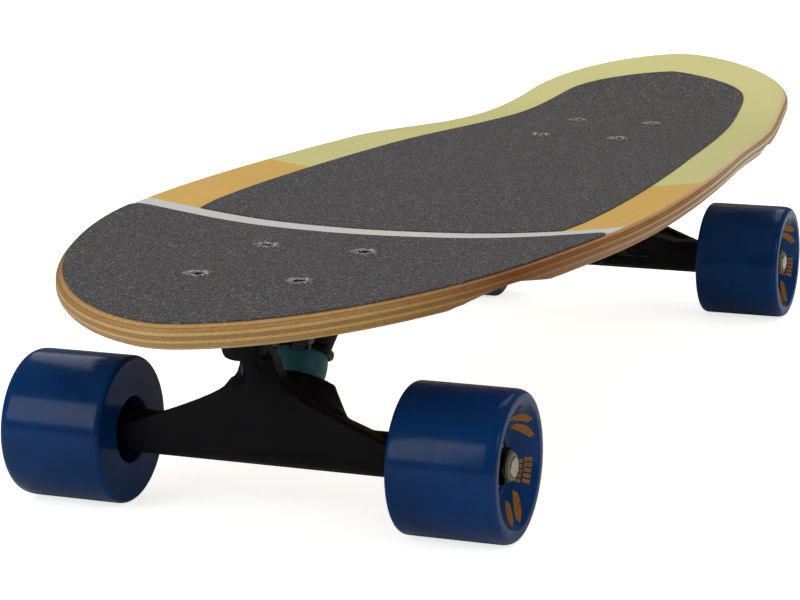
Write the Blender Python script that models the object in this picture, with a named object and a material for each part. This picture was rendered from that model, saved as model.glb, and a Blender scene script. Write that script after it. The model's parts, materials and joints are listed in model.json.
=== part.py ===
"""A cruiser skateboard: a concave wooden deck with grit sheets, two steering trucks and four wheels.

X is across the board, Y runs from the nose (-Y) to the tail (+Y) and Z is up from the floor.
The origin lies on the floor, under the middle of the board's length. Sizes are in metres.
Places along the board are given as stations, measured from the middle of the wheelbase.
Inside a truck, Y runs inboard from the axle and Z runs up from it, the same for both trucks.
"""

import math

import bmesh
import bpy
from mathutils import Matrix, Vector

MM = 0.001

# Fits
GAP = 0.3 * MM
SEAT_GAP = 0.3 * MM

# Deck outline, by stations and half widths
WHEELBASE = 438 * MM
NOSE_REACH = 315.1 * MM
TAIL_REACH = 382.6 * MM
BELLY_HALF_WIDTH = 111 * MM
BELLY_STATION = -58.6 * MM
SHOULDER_HALF_WIDTH = 76 * MM
SHOULDER_STATION = 315.7 * MM
SHOULDER_TAPER = 0.11
NOSE_BLUNTNESS = 24.5 * MM
TAIL_BLUNTNESS = 17 * MM
BELLY_SWEEP_TO_NOSE = 205 * MM
BELLY_SWEEP_TO_TAIL = 135 * MM
SHOULDER_SWEEP_TO_BELLY = 46.7 * MM
SHOULDER_SWEEP_TO_TAIL = 50.2 * MM

# Deck section
DECK_THICKNESS = 9.3 * MM
RAIL_RADIUS = 4 * MM
CONCAVE_RISE = 5.4 * MM
FLAT_SHARE = 0.36
CONCAVE_RAMP_FROM_NOSE = 180 * MM
CONCAVE_FADE_START = 100 * MM
CONCAVE_FADE_END = 235 * MM
NOSE_DROP_STATION = -236 * MM
NOSE_DROP_RADIUS = 1840 * MM
KICK_STATION = 240 * MM
KICK_RADIUS = 430 * MM

# Wheel wells ground into the underside
WELL_RADIUS = 125 * MM
WELL_DEPTH = 4.2 * MM
FRONT_WELL_INBOARD = 14 * MM
REAR_WELL_INBOARD = 5 * MM
WELL_FADE_WIDTH = 42 * MM
WELL_SIDES = 72

# Grit sheets
GRIP_THICKNESS = 0.7 * MM
NOSE_GRIP_MARGIN = 2.7 * MM
NOSE_GRIP_CORNER = 9 * MM
STRIPE_STATION = -130.5 * MM
STRIPE_RADIUS = 300 * MM
STRIPE_WIDTH = 11.5 * MM
MAIN_GRIP_MARGIN = 27.1 * MM
MAIN_GRIP_MARGIN_WAIST = 23.6 * MM
MAIN_GRIP_MARGIN_TAIL = 29.6 * MM
GRIP_ROW_LEAST = 8 * MM

# Deck bolts
BOLT_SPACING_LONG = 63.5 * MM
BOLT_SPACING_WIDE = 41.28 * MM
PATTERN_INBOARD = 15 * MM
BOLT_RADIUS = 2.4 * MM
BOLT_HEAD_RADIUS = 4.7 * MM
BOLT_HEAD_DEPTH = 2.8 * MM
BOLT_HEAD_PROUD = 0.2 * MM
BOLT_NUT_ACROSS = 9.5 * MM
BOLT_NUT_HEIGHT = 5.5 * MM
BOLT_END_BEYOND = 0.6 * MM
TORN_RING = 0.6 * MM

# Riser pads and truck baseplates
RISER_THICKNESS = 3.5 * MM
PLATE_TOP = 53.3 * MM
PLATE_THICKNESS = 5.5 * MM
PLATE_OUTBOARD = -27 * MM
PLATE_INBOARD = 61 * MM
PLATE_HALF_WIDTH = 28 * MM
PLATE_CORNER = 8 * MM
HOUSING_RADIUS = 8.2 * MM
HOUSING_BOTTOM = 37.3 * MM
HOUSING_OUTBOARD = -29.8 * MM
HOUSING_INBOARD = -9.8 * MM
HOUSING_ROUNDING = 3.5 * MM
RIB_HALF_WIDTH = 4.5 * MM
RIB_BOTTOM = 39.5 * MM
BOSS_FACE_RADIUS = 10.8 * MM
BOSS_ROOT_RADIUS = 13.6 * MM

# Steering geometry
AXLE_HEIGHT = 29 * MM
KINGPIN_TILT = math.radians(29.5)
RING_INBOARD = 25.5 * MM
RING_UP = 15 * MM
PIVOT_REACH = 52 * MM
NOSE_TILT = math.radians(50)

# Kingpin, its bushings and its washers
KINGPIN_RADIUS = 4.76 * MM
RING_HALF_THICKNESS = 4 * MM
UPPER_BUSHING_HEIGHT = 11.4 * MM
UPPER_BUSHING_RADIUS = 10.4 * MM
UPPER_BUSHING_BULGE = 0.4 * MM
LOWER_BUSHING_HEIGHT = 6.9 * MM
LOWER_BUSHING_RADIUS = 8.5 * MM
CUP_WASHER_THICKNESS = 1.3 * MM
UPPER_WASHER_RADIUS = 12.3 * MM
LOWER_WASHER_RADIUS = 9.8 * MM
WASHER_LIP = 1 * MM
KINGPIN_NUT_ACROSS = 14.3 * MM
KINGPIN_NUT_HEIGHT = 6.2 * MM
KINGPIN_END_BEYOND = 1 * MM
KINGPIN_HEAD_HEIGHT = 5.5 * MM
HEAD_SEAT = 32.7 * MM
HEAD_RECESS_RADIUS = 8.7 * MM

# Pivot nose and pivot cup
PIVOT_BALL_RADIUS = 4.2 * MM
PIVOT_NECK_RADIUS = 3.7 * MM
PIVOT_ROOT_RADIUS = 4.8 * MM
PIVOT_LENGTH = 14.5 * MM
CUP_WALL = 0.9 * MM
CUP_MOUTH = 0.2 * MM

# Hanger
TUBE_RADIUS = 8.7 * MM
TUBE_END_RADIUS = 8.4 * MM
RING_RADIUS = 15 * MM
RING_BORE = 7.5 * MM
POCKET_RADIUS = 12.8 * MM
FACE_LOW_OUTBOARD = -8.9 * MM
FACE_HIGH_OUTBOARD = -11 * MM
FACE_THICKNESS = 4 * MM
FACE_NECK_THICKNESS = 9 * MM
FACE_TOP = 34.5 * MM
FACE_TOP_HALF_WIDTH = 5.5 * MM
FACE_FOOT_UP = 4.5 * MM
FACE_REACH = 57.5 * MM
FACE_NECK_LEAD = (9 * MM, 23 * MM)
FACE_SWEEP = (20 * MM, 18 * MM)

# Sections of the hanger's web: its Y, then its corners (x, z) from the top down the right side
WEB_SECTIONS_MM = (
    (-8.5, ((5, 30), (9, 22.5), (18, 17.5), (28, 13), (45, 7.5), (45, 0))),
    (5, ((12, 24.5), (17.5, 22), (22.5, 17.5), (31, 11.5), (45, 6.5), (45, 0))),
    (13, ((14, 24), (21.3, 21.6), (23.8, 17.5), (26, 12.5), (26, 4), (20, 0))),
    (16.5, ((13, 22.8), (20.7, 20.8), (22.4, 16), (23.6, 11.5), (22, 6), (18, 3))),
    (25.5, ((9, 18.2), (14.7, 17), (14.7, 14.5), (14.7, 12), (14.7, 10), (14.7, 8.6))),
)

# Axle line, measured across from the board's middle
WHEEL_CENTRE = 79.5 * MM
WHEEL_RADIUS = 29 * MM
WHEEL_WIDTH = 43 * MM
WHEEL_LIP = 5 * MM
WHEEL_BACK_LIP = 1.5 * MM
WHEEL_RECESS_RIM = 23.8 * MM
WHEEL_RECESS_FLOOR = 14 * MM
WHEEL_BACK_HOLE = 13 * MM
WHEEL_RIB_BORE = 9.5 * MM
WHEEL_SIDES = 36
AXLE_RADIUS = 3.97 * MM
AXLE_HALF_LENGTH = 99.2 * MM
BEARING_RADIUS = 11 * MM
BEARING_WIDTH = 7 * MM
SPACER_LENGTH = 10 * MM
SPACER_RADIUS = 5.2 * MM
SHOULDER_RADIUS = 5.8 * MM
SHOULDER_LENGTH = 0.7 * MM
SPEED_WASHER_THICKNESS = 0.8 * MM
SPEED_WASHER_RADIUS = 5.6 * MM
AXLE_NUT_ACROSS = 12.7 * MM
AXLE_NUT_HEIGHT = 5.6 * MM
ROUND_SIDES = 20
SMALL_SIDES = 16
HEX_SIDES = 12
HOLE_SIDES = 12

# Places worked out from the sizes above
MID_STATION_SHIFT = (TAIL_REACH - NOSE_REACH) / 2
AXLE_STATION = WHEELBASE / 2
PLATE_UNDERSIDE = PLATE_TOP - PLATE_THICKNESS
RISER_BOTTOM = PLATE_TOP + GAP
DECK_BOTTOM = AXLE_HEIGHT + RISER_BOTTOM + RISER_THICKNESS + GAP
DECK_TOP = DECK_BOTTOM + DECK_THICKNESS
KINGPIN_BORE = KINGPIN_RADIUS + GAP
UPPER_BUSHING_FROM = RING_HALF_THICKNESS + GAP
UPPER_WASHER_FROM = UPPER_BUSHING_FROM + UPPER_BUSHING_HEIGHT + GAP
BOSS_FACE = UPPER_WASHER_FROM + CUP_WASHER_THICKNESS + GAP
LOWER_BUSHING_FROM = -RING_HALF_THICKNESS - GAP
LOWER_WASHER_FROM = LOWER_BUSHING_FROM - LOWER_BUSHING_HEIGHT - GAP
KINGPIN_NUT_FROM = LOWER_WASHER_FROM - CUP_WASHER_THICKNESS - GAP
BEARING_INNER_FACE = SPACER_LENGTH / 2
BEARING_OUTER_FACE = BEARING_INNER_FACE + BEARING_WIDTH
CUP_RADIUS = PIVOT_BALL_RADIUS + GAP + CUP_WALL
WEB_SECTIONS = [(y * MM, [(x * MM, z * MM) for x, z in corners]) for y, corners in WEB_SECTIONS_MM]
RING_CENTRE = Vector((0, RING_INBOARD, RING_UP))
STEER_LINE = Vector((0, -math.cos(KINGPIN_TILT), math.sin(KINGPIN_TILT)))
PIVOT_CENTRE = RING_CENTRE + STEER_LINE * PIVOT_REACH


def clear_scene():
    for thing in list(bpy.data.objects):
        bpy.data.objects.remove(thing, do_unlink=True)


def material(name, colour, roughness, metallic=0.0):
    """A plain surface: its colour, how rough it is and whether it is metal."""
    found = bpy.data.materials.new(name)
    found.use_nodes = True
    shader = found.node_tree.nodes["Principled BSDF"]
    shader.inputs["Base Color"].default_value = (*colour, 1.0)
    shader.inputs["Roughness"].default_value = roughness
    shader.inputs["Metallic"].default_value = metallic
    return found


def empty(name, parent=None, location=(0, 0, 0), turn=0.0, lean=0.0):
    """A place that pieces are parented to, turned about Z and leant about X."""
    place = bpy.data.objects.new(name, None)
    bpy.context.scene.collection.objects.link(place)
    place.parent = parent
    place.location = location
    place.rotation_euler = (lean, 0, turn)
    return place


def add_piece(name, mesh, look, parent, location=(0, 0, 0), rotation=(0, 0, 0)):
    piece = bpy.data.objects.new(name, mesh)
    bpy.context.scene.collection.objects.link(piece)
    piece.parent = parent
    piece.location = location
    piece.rotation_euler = rotation
    if look and not mesh.materials:
        mesh.materials.append(look)
    return piece


def add_tool(name, mesh, parent, location=(0, 0, 0), rotation=(0, 0, 0)):
    """A solid that only cuts or joins another, and is no piece itself."""
    tool = add_piece(name, mesh, None, parent, location, rotation)
    tool.hide_render = True
    tool.display_type = "WIRE"
    return tool


def combine(piece, tool, operation):
    step = piece.modifiers.new(tool.name, "BOOLEAN")
    step.operation = operation
    step.object = tool
    step.solver = "EXACT"


def finish_mesh(name, shape, smooth=True):
    """Turn the faces outward and keep edges of 35 degrees or more sharp."""
    bmesh.ops.recalc_face_normals(shape, faces=shape.faces)
    mesh = bpy.data.meshes.new(name)
    shape.to_mesh(mesh)
    shape.free()
    if smooth:
        mesh.shade_smooth()
        mesh.set_sharp_from_angle(angle=math.radians(35))
    return mesh


def hexagon_radius(across, angle):
    """How far a hexagon's side lies from its middle, in the direction of angle."""
    side = math.radians(60)
    off_middle = (angle + side / 2) % side - side / 2
    return across / 2 / math.cos(off_middle)


def ring_points(radius, height, sides, phase, across):
    """One ring of a turned piece. Given a width across flats, the ring is a hexagon."""
    points = []
    for i in range(sides):
        angle = 2 * math.pi * (i + phase) / sides
        reach = hexagon_radius(across, angle) if across else radius
        points.append((reach * math.cos(angle), reach * math.sin(angle), height))
    return points


def turned_mesh(name, profile, sides, phase=0.5):
    """Turn a closed profile about Z. Its corners are (radius, height) or (0, height, across flats)."""
    shape = bmesh.new()
    rings = []
    for radius, height, *across in profile:
        if radius == 0 and not across:
            rings.append([shape.verts.new((0, 0, height))])
            continue
        points = ring_points(radius, height, sides, phase, across[0] if across else 0)
        rings.append([shape.verts.new(point) for point in points])
    for ring, following in zip(rings, rings[1:] + rings[:1]):
        for i in range(sides):
            corners = [ring[i % len(ring)], ring[(i + 1) % len(ring)]]
            corners += [following[(i + 1) % len(following)], following[i % len(following)]]
            distinct = list(dict.fromkeys(corners))
            if len(distinct) > 2:
                shape.faces.new(distinct)
    return finish_mesh(name, shape)


def stacked_mesh(name, sections, smooth=False):
    """A solid through closed sections with as many corners each, capped at both ends."""
    shape = bmesh.new()
    rings = [[shape.verts.new(point) for point in section] for section in sections]
    count = len(rings[0])
    for ring, following in zip(rings, rings[1:]):
        for i in range(count):
            after = (i + 1) % count
            shape.faces.new((ring[i], ring[after], following[after], following[i]))
    shape.faces.new(rings[0])
    shape.faces.new(rings[-1])
    return finish_mesh(name, shape, smooth)


def lerp(start, end, share):
    return start + (end - start) * share


def smoothstep(share):
    share = min(1.0, max(0.0, share))
    return share * share * (3 - 2 * share)


def bezier(p0, p1, p2, p3, steps):
    """Points along a cubic Bezier curve, its last point left out."""
    points = []
    for i in range(steps):
        t = i / steps
        weights = ((1 - t) ** 3, 3 * t * (1 - t) ** 2, 3 * t * t * (1 - t), t ** 3)
        points.append(sum((Vector(p) * w for p, w in zip((p0, p1, p2, p3), weights)), Vector((0, 0))))
    return points


def mirrored(points):
    """A closed outline from the half at +X, listed from one end of the middle line to the other."""
    return points + [Vector((-p.x, p.y)) for p in reversed(points) if abs(p.x) > 1e-7]


def deck_half_outline(nose_steps=15, flank_steps=12, tail_steps=14):
    """The deck's edge at +X from nose tip to tail tip."""
    shoulder_in = SHOULDER_HALF_WIDTH + SHOULDER_TAPER * SHOULDER_SWEEP_TO_BELLY
    shoulder_out = SHOULDER_HALF_WIDTH - SHOULDER_TAPER * SHOULDER_SWEEP_TO_TAIL
    nose_tip = (0, -NOSE_REACH)
    belly = (BELLY_HALF_WIDTH, BELLY_STATION)
    shoulder = (SHOULDER_HALF_WIDTH, SHOULDER_STATION)
    tail_tip = (0, TAIL_REACH)
    before_belly = (BELLY_HALF_WIDTH, BELLY_STATION - BELLY_SWEEP_TO_NOSE)
    after_belly = (BELLY_HALF_WIDTH, BELLY_STATION + BELLY_SWEEP_TO_TAIL)
    before_shoulder = (shoulder_in, SHOULDER_STATION - SHOULDER_SWEEP_TO_BELLY)
    after_shoulder = (shoulder_out, SHOULDER_STATION + SHOULDER_SWEEP_TO_TAIL)
    points = bezier(nose_tip, (NOSE_BLUNTNESS, -NOSE_REACH), before_belly, belly, nose_steps)
    points += bezier(belly, after_belly, before_shoulder, shoulder, flank_steps)
    points += bezier(shoulder, after_shoulder, (TAIL_BLUNTNESS, TAIL_REACH), tail_tip, tail_steps)
    return points + [Vector(tail_tip)]


def inset_half(points, distance):
    """The half outline moved inward by a distance, its ends kept on the middle line."""
    moved = []
    for i, point in enumerate(points):
        before = points[max(i - 1, 0)]
        after = points[min(i + 1, len(points) - 1)]
        along = (after - before).normalized()
        if i == 0:
            along = Vector((1, 0))
        if i == len(points) - 1:
            along = Vector((-1, 0))
        reach = distance(point) if callable(distance) else distance
        moved.append(point + Vector((-along.y, along.x)) * reach)
    return moved


DECK_EDGE = deck_half_outline(60, 60, 60)


def half_width(station):
    """Half the deck's width at a station, read from its outline."""
    for before, after in zip(DECK_EDGE, DECK_EDGE[1:]):
        if before.y <= station <= after.y:
            share = (station - before.y) / max(after.y - before.y, 1e-9)
            return lerp(before.x, after.x, share)
    return 0.0


def concave_at(station):
    """How far the rails rise above the flat middle at a station."""
    ramp = smoothstep((station + NOSE_REACH) / CONCAVE_RAMP_FROM_NOSE)
    fade = smoothstep((station - CONCAVE_FADE_START) / (CONCAVE_FADE_END - CONCAVE_FADE_START))
    return CONCAVE_RISE * ramp * (1 - fade)


def deck_top(x, station):
    """Height of the deck's upper face."""
    width = max(half_width(station), 1 * MM)
    out = max(0.0, (min(abs(x) / width, 1.0) - FLAT_SHARE) / (1 - FLAT_SHARE))
    drop = max(0.0, NOSE_DROP_STATION - station) ** 2 / (2 * NOSE_DROP_RADIUS)
    along_kick = max(0.0, station - KICK_STATION)
    kick = KICK_RADIUS - math.sqrt(KICK_RADIUS ** 2 - along_kick ** 2)
    return DECK_TOP + concave_at(station) * out * out - drop + kick


def deck_underside(x, station):
    return deck_top(x, station) - DECK_THICKNESS


def sheet_mesh(name, rows, rings, upper, lower):
    """A sheet with an upper and a lower face over the same rows of (x, y) points.

    Its edge runs from the upper face to the lower one through rings, each a closed outline
    with as many points as the rows have round their edge, and its depth under the upper face.
    """
    shape = bmesh.new()

    def face_grid(height):
        return [[shape.verts.new((x, y, height(x, y))) for x, y in row] for row in rows]

    def around(grid):
        right = [row[-1] for row in grid[1:-1]]
        left = [row[0] for row in reversed(grid[1:-1])]
        return grid[0] + right + grid[-1][::-1] + left

    def span(grid):
        for row, following in zip(grid, grid[1:]):
            for j in range(max(len(row), len(following)) - 1):
                corners = [row[min(j, len(row) - 1)], row[min(j + 1, len(row) - 1)]]
                corners.append(following[min(j + 1, len(following) - 1)])
                corners.append(following[min(j, len(following) - 1)])
                shape.faces.new(list(dict.fromkeys(corners)))

    top_grid = face_grid(upper)
    low_grid = face_grid(lower)
    span(top_grid)
    span(low_grid)
    loops = [around(top_grid)]
    for outline, depth in rings:
        loops.append([shape.verts.new((x, y, upper(x, y) - depth)) for x, y in outline])
    loops.append(around(low_grid))
    for loop, following in zip(loops, loops[1:]):
        for i in range(len(loop)):
            after = (i + 1) % len(loop)
            shape.faces.new((loop[i], loop[after], following[after], following[i]))
    return finish_mesh(name, shape)


def column_shares():
    """Where the sheets' points lie across the board, from -1 at one edge to 1 at the other."""
    rising = [lerp(FLAT_SHARE, 1.0, i / 4) for i in range(5)]
    return [-share for share in reversed(rising)] + [0.0] + rising


def deck_mesh():
    edge = deck_half_outline(14, 14, 13)
    inner = inset_half(edge, RAIL_RADIUS)
    shares = column_shares()
    rows = [[(p.x * share, p.y) for share in shares] for p in inner]
    rows[0] = [tuple(inner[0])]
    rows[-1] = [tuple(inner[-1])]
    nearly = RAIL_RADIUS * (1 - math.sqrt(0.5))
    between = mirrored(inset_half(edge, nearly))
    outer = mirrored(edge)
    rings = [
        (between, nearly),
        (outer, RAIL_RADIUS),
        (outer, DECK_THICKNESS - RAIL_RADIUS),
        (between, DECK_THICKNESS - nearly),
    ]
    return sheet_mesh("deck", rows, rings, deck_top, deck_underside)


def stripe_bow(x):
    """How far the stripe's ends lie behind its middle, at x."""
    return STRIPE_RADIUS - math.sqrt(STRIPE_RADIUS ** 2 - x * x)


def bowed_row(x, station, shares, blend):
    """A row from side to side that takes the stripe's bow in part."""
    bow = stripe_bow(x)
    return [(x * share, station + (stripe_bow(x * share) - bow) * blend) for share in shares]


def grip_mesh(name, rows):
    def lower(x, y):
        return deck_top(x, y) + GAP

    def upper(x, y):
        return lower(x, y) + GRIP_THICKNESS

    return sheet_mesh(name, rows, [], upper, lower)


def nose_grip_mesh():
    """The sheet from the nose to the stripe, with its two rear corners rounded."""
    rear = STRIPE_STATION - STRIPE_WIDTH / 2
    edge = inset_half(deck_half_outline(14, 12, 4), NOSE_GRIP_MARGIN)
    corner = Vector((BELLY_HALF_WIDTH, rear))
    for _ in range(8):
        corner.x = half_width(corner.y) - NOSE_GRIP_MARGIN
        corner.y = rear + stripe_bow(corner.x)
    along = Vector((-1, -corner.x / (STRIPE_RADIUS - stripe_bow(corner.x)))).normalized()
    start = Vector((corner.x, corner.y - NOSE_GRIP_CORNER))
    start.x = half_width(start.y) - NOSE_GRIP_MARGIN
    end = corner + along * NOSE_GRIP_CORNER
    end.y = rear + stripe_bow(end.x)
    side = [p for p in edge if p.y < start.y - NOSE_GRIP_CORNER / 2]
    rounded = [lerp(lerp(start, corner, t), lerp(corner, end, t), t) for t in (0, 1 / 3, 2 / 3, 1)]
    shares = column_shares()
    rows = [[tuple(side[0])]]
    for p in side[1:] + rounded:
        blend = smoothstep((p.y + NOSE_REACH) / (end.y + NOSE_REACH))
        rows.append(bowed_row(p.x, p.y, shares, blend))
    rows[-1] = bowed_row(end.x, end.y, shares, 1.0)
    return grip_mesh("grip_nose", rows)


def main_grip_margin(point):
    """How far the main sheet lies inside the deck's edge, at a point of that edge."""
    along_sides = smoothstep((point.y - STRIPE_STATION) / (KICK_STATION - STRIPE_STATION))
    to_tail = smoothstep((point.y - SHOULDER_STATION) / (TAIL_REACH - SHOULDER_STATION))
    margin = lerp(MAIN_GRIP_MARGIN, MAIN_GRIP_MARGIN_WAIST, along_sides)
    return lerp(margin, MAIN_GRIP_MARGIN_TAIL, to_tail)


def main_grip_mesh():
    """The sheet from the stripe to the tail, inset from the deck's sides."""
    front = STRIPE_STATION + STRIPE_WIDTH / 2
    edge = inset_half(deck_half_outline(12, 14, 12), main_grip_margin)
    corner_x = half_width(front) - MAIN_GRIP_MARGIN
    corner = Vector((corner_x, front + stripe_bow(corner_x)))
    side = [p for p in edge if p.y > corner.y + GRIP_ROW_LEAST]
    shares = column_shares()
    rows = [bowed_row(corner.x, corner.y, shares, 1.0)]
    for p in side[:-1]:
        blend = 1 - smoothstep((p.y - corner.y) / (KICK_STATION - corner.y))
        rows.append(bowed_row(p.x, p.y, shares, blend))
    rows.append([tuple(side[-1])])
    return grip_mesh("grip_main", rows)


def bolt_places():
    """The four bolts of a truck, from its axle."""
    half_long = BOLT_SPACING_LONG / 2
    half_wide = BOLT_SPACING_WIDE / 2
    return [
        (x, PATTERN_INBOARD + y)
        for y in (-half_long, half_long)
        for x in (-half_wide, half_wide)
    ]


def scattered_mesh(name, mesh, places):
    """One mesh with a copy of another at each place."""
    shape = bmesh.new()
    for x, y in places:
        before = len(shape.verts)
        shape.from_mesh(mesh)
        shape.verts.ensure_lookup_table()
        bmesh.ops.translate(shape, verts=shape.verts[before:], vec=(x, y, 0))
    return finish_mesh(name, shape)


def deck_bolt_stations():
    """The eight bolts, by x and station: four of the front truck, four of the rear one."""
    front = [(x, -AXLE_STATION + y) for x, y in bolt_places()]
    rear = [(x, AXLE_STATION - y) for x, y in bolt_places()]
    return front + rear


def well_cutter(name, board, side, station):
    """A large cylinder under the deck's edge, whose top line dips inboard until it leaves the wood."""
    outer_x = half_width(station)
    inner_x = outer_x - WELL_FADE_WIDTH
    inner_z = deck_underside(inner_x, station)
    outer_z = deck_underside(outer_x, station) + WELL_DEPTH
    lean = math.atan2(outer_z - inner_z, WELL_FADE_WIDTH)
    length = WELL_FADE_WIDTH * 2
    profile = [(0, length / 2), (WELL_RADIUS, length / 2), (WELL_RADIUS, -length / 2), (0, -length / 2)]
    middle = Vector(((inner_x + outer_x) / 2, (inner_z + outer_z) / 2))
    middle -= Vector((-math.sin(lean), math.cos(lean))) * WELL_RADIUS
    return add_tool(
        name,
        turned_mesh(name, profile, WELL_SIDES),
        board,
        (side * middle.x, station, middle.y),
        (0, side * (math.pi / 2 - lean), 0),
    )


def build_deck(board, looks):
    deck = add_piece("deck", deck_mesh(), looks["maple"], board)
    front_well = -AXLE_STATION + FRONT_WELL_INBOARD
    rear_well = AXLE_STATION - REAR_WELL_INBOARD
    for end, station in (("front", front_well), ("rear", rear_well)):
        for hand, side in (("left", -1), ("right", 1)):
            combine(deck, well_cutter(f"well_{end}_{hand}", board, side, station), "DIFFERENCE")
    sink_radius = BOLT_HEAD_RADIUS + GAP
    hole_radius = BOLT_RADIUS + GAP
    sink_top = BOLT_HEAD_PROUD - GAP
    sink = [
        (0, DECK_THICKNESS),
        (sink_radius, DECK_THICKNESS),
        (sink_radius, sink_top),
        (hole_radius, sink_top - BOLT_HEAD_DEPTH),
        (hole_radius, -2 * DECK_THICKNESS),
        (0, -2 * DECK_THICKNESS),
    ]
    one_hole = turned_mesh("deck_hole", sink, HOLE_SIDES, 0)
    holes = scattered_mesh("deck_holes", one_hole, deck_bolt_stations())
    combine(deck, add_tool("deck_holes", holes, board, (0, 0, DECK_TOP)), "DIFFERENCE")
    torn_radius = BOLT_HEAD_RADIUS + TORN_RING
    punch = [(0, 5 * MM), (torn_radius, 5 * MM), (torn_radius, -5 * MM), (0, -5 * MM)]
    one_punch = turned_mesh("grip_hole", punch, HOLE_SIDES, 0)
    punches = scattered_mesh("grip_holes", one_punch, deck_bolt_stations())
    punch_tool = add_tool("grip_holes", punches, board, (0, 0, DECK_TOP))
    nose_grip = add_piece("grip_nose", nose_grip_mesh(), looks["grit"], board)
    main_grip = add_piece("grip_main", main_grip_mesh(), looks["grit"], board)
    combine(nose_grip, punch_tool, "DIFFERENCE")
    combine(main_grip, punch_tool, "DIFFERENCE")


def rounded_rectangle(x_low, x_high, y_low, y_high, corner, height, steps=3):
    """A closed outline at one height, its corners round."""
    points = []
    middles = (
        (x_high - corner, y_high - corner, 0),
        (x_low + corner, y_high - corner, 1),
        (x_low + corner, y_low + corner, 2),
        (x_high - corner, y_low + corner, 3),
    )
    for x, y, quarter in middles:
        for i in range(steps + 1):
            angle = math.pi / 2 * (quarter + i / steps)
            points.append((x + corner * math.cos(angle), y + corner * math.sin(angle), height))
    return points


def rectangle(x_from, x_to, y_from, y_to, height):
    """A level rectangle as four corners."""
    return [(x_from, y_from, height), (x_to, y_from, height), (x_to, y_to, height), (x_from, y_to, height)]


def plate_outline(height):
    return rounded_rectangle(
        -PLATE_HALF_WIDTH, PLATE_HALF_WIDTH, PLATE_OUTBOARD, PLATE_INBOARD, PLATE_CORNER, height
    )


def housing_outline(inset, height):
    """The pivot housing's oblong section, drawn in by an inset."""
    reach = HOUSING_RADIUS - inset
    y_low = HOUSING_OUTBOARD + inset
    y_high = HOUSING_INBOARD - inset
    return rounded_rectangle(-reach, reach, y_low, y_high, reach * 0.95, height, 4)


def bolt_hole_tool(name, truck):
    """Four straight holes on the bolt pattern, as long as the truck is high."""
    radius = BOLT_RADIUS + GAP
    straight = [(0, 2 * PLATE_TOP), (radius, 2 * PLATE_TOP), (radius, 0), (0, 0)]
    hole = turned_mesh("bolt_hole", straight, HOLE_SIDES, 0)
    return add_tool(name, scattered_mesh(name, hole, bolt_places()), truck)


def build_riser(end, truck, holes, looks):
    sections = [plate_outline(RISER_BOTTOM), plate_outline(RISER_BOTTOM + RISER_THICKNESS)]
    riser = add_piece(f"{end}_riser", stacked_mesh("riser", sections), looks["riser"], truck)
    combine(riser, holes, "DIFFERENCE")


def build_baseplate(end, truck, kingpin_line, pivot_line, holes, looks):
    """The plate with the boss that holds the kingpin and the housing that holds the pivot cup."""
    sections = [plate_outline(PLATE_UNDERSIDE), plate_outline(PLATE_TOP)]
    plate = add_piece(f"{end}_baseplate", stacked_mesh("plate", sections), looks["truck"], truck)

    housing_sections = [
        housing_outline(HOUSING_ROUNDING, HOUSING_BOTTOM),
        housing_outline(HOUSING_ROUNDING * 0.3, HOUSING_BOTTOM + HOUSING_ROUNDING * 0.3),
        housing_outline(0, HOUSING_BOTTOM + HOUSING_ROUNDING),
        housing_outline(0, PLATE_TOP - PLATE_THICKNESS / 2),
    ]
    housing = stacked_mesh("housing", housing_sections)
    combine(plate, add_tool(f"{end}_housing", housing, truck), "UNION")
    inside_housing = (HOUSING_OUTBOARD + HOUSING_INBOARD) / 2
    rib = stacked_mesh("rib", [
        rectangle(-RIB_HALF_WIDTH, RIB_HALF_WIDTH, inside_housing, RING_INBOARD, RIB_BOTTOM),
        rectangle(-RIB_HALF_WIDTH, RIB_HALF_WIDTH, inside_housing, PLATE_INBOARD / 2, PLATE_TOP - GAP),
    ])
    combine(plate, add_tool(f"{end}_rib", rib, truck), "UNION")

    over = 2 * PLATE_THICKNESS / math.cos(KINGPIN_TILT)
    boss_top = (PLATE_TOP - RING_UP) / math.cos(KINGPIN_TILT) + over
    boss_profile = [
        (0, boss_top),
        (BOSS_ROOT_RADIUS, boss_top),
        (BOSS_ROOT_RADIUS, boss_top - 2 * over),
        (BOSS_FACE_RADIUS, BOSS_FACE),
        (0, BOSS_FACE),
    ]
    boss = turned_mesh("boss", boss_profile, ROUND_SIDES)
    combine(plate, add_tool(f"{end}_boss", boss, kingpin_line), "UNION")

    recess_top = 2 * boss_top
    seat = HEAD_SEAT - GAP
    bore_profile = [
        (0, recess_top),
        (HEAD_RECESS_RADIUS, recess_top),
        (HEAD_RECESS_RADIUS, seat),
        (KINGPIN_BORE, seat),
        (KINGPIN_BORE, 0),
        (0, 0),
    ]
    bore = turned_mesh("kingpin_bore", bore_profile, ROUND_SIDES)
    reach = 2 * PLATE_INBOARD
    above = stacked_mesh("above", [
        rounded_rectangle(-reach, reach, -reach, reach, reach / 2, PLATE_TOP),
        rounded_rectangle(-reach, reach, -reach, reach, reach / 2, 2 * PLATE_TOP),
    ])
    cup_bore_radius = CUP_RADIUS + GAP
    cup_profile = [
        (0, cup_bore_radius),
        (cup_bore_radius, cup_bore_radius),
        (cup_bore_radius, -2 * PIVOT_LENGTH),
        (0, -2 * PIVOT_LENGTH),
    ]
    cup_bore = turned_mesh("cup_bore", cup_profile, SMALL_SIDES)
    combine(plate, add_tool(f"{end}_above", above, truck), "DIFFERENCE")
    combine(plate, add_tool(f"{end}_kingpin_bore", bore, kingpin_line), "DIFFERENCE")
    combine(plate, add_tool(f"{end}_cup_bore", cup_bore, pivot_line), "DIFFERENCE")
    combine(plate, holes, "DIFFERENCE")


def ball_profile(radius, lowest, steps):
    """Corners of a ball's outline from its top down to an angle below its middle."""
    top = math.pi / 2
    angles = [lerp(top, lowest, i / steps) for i in range(steps + 1)]
    return [(radius * math.cos(a) if i else 0, radius * math.sin(a)) for i, a in enumerate(angles)]


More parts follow.
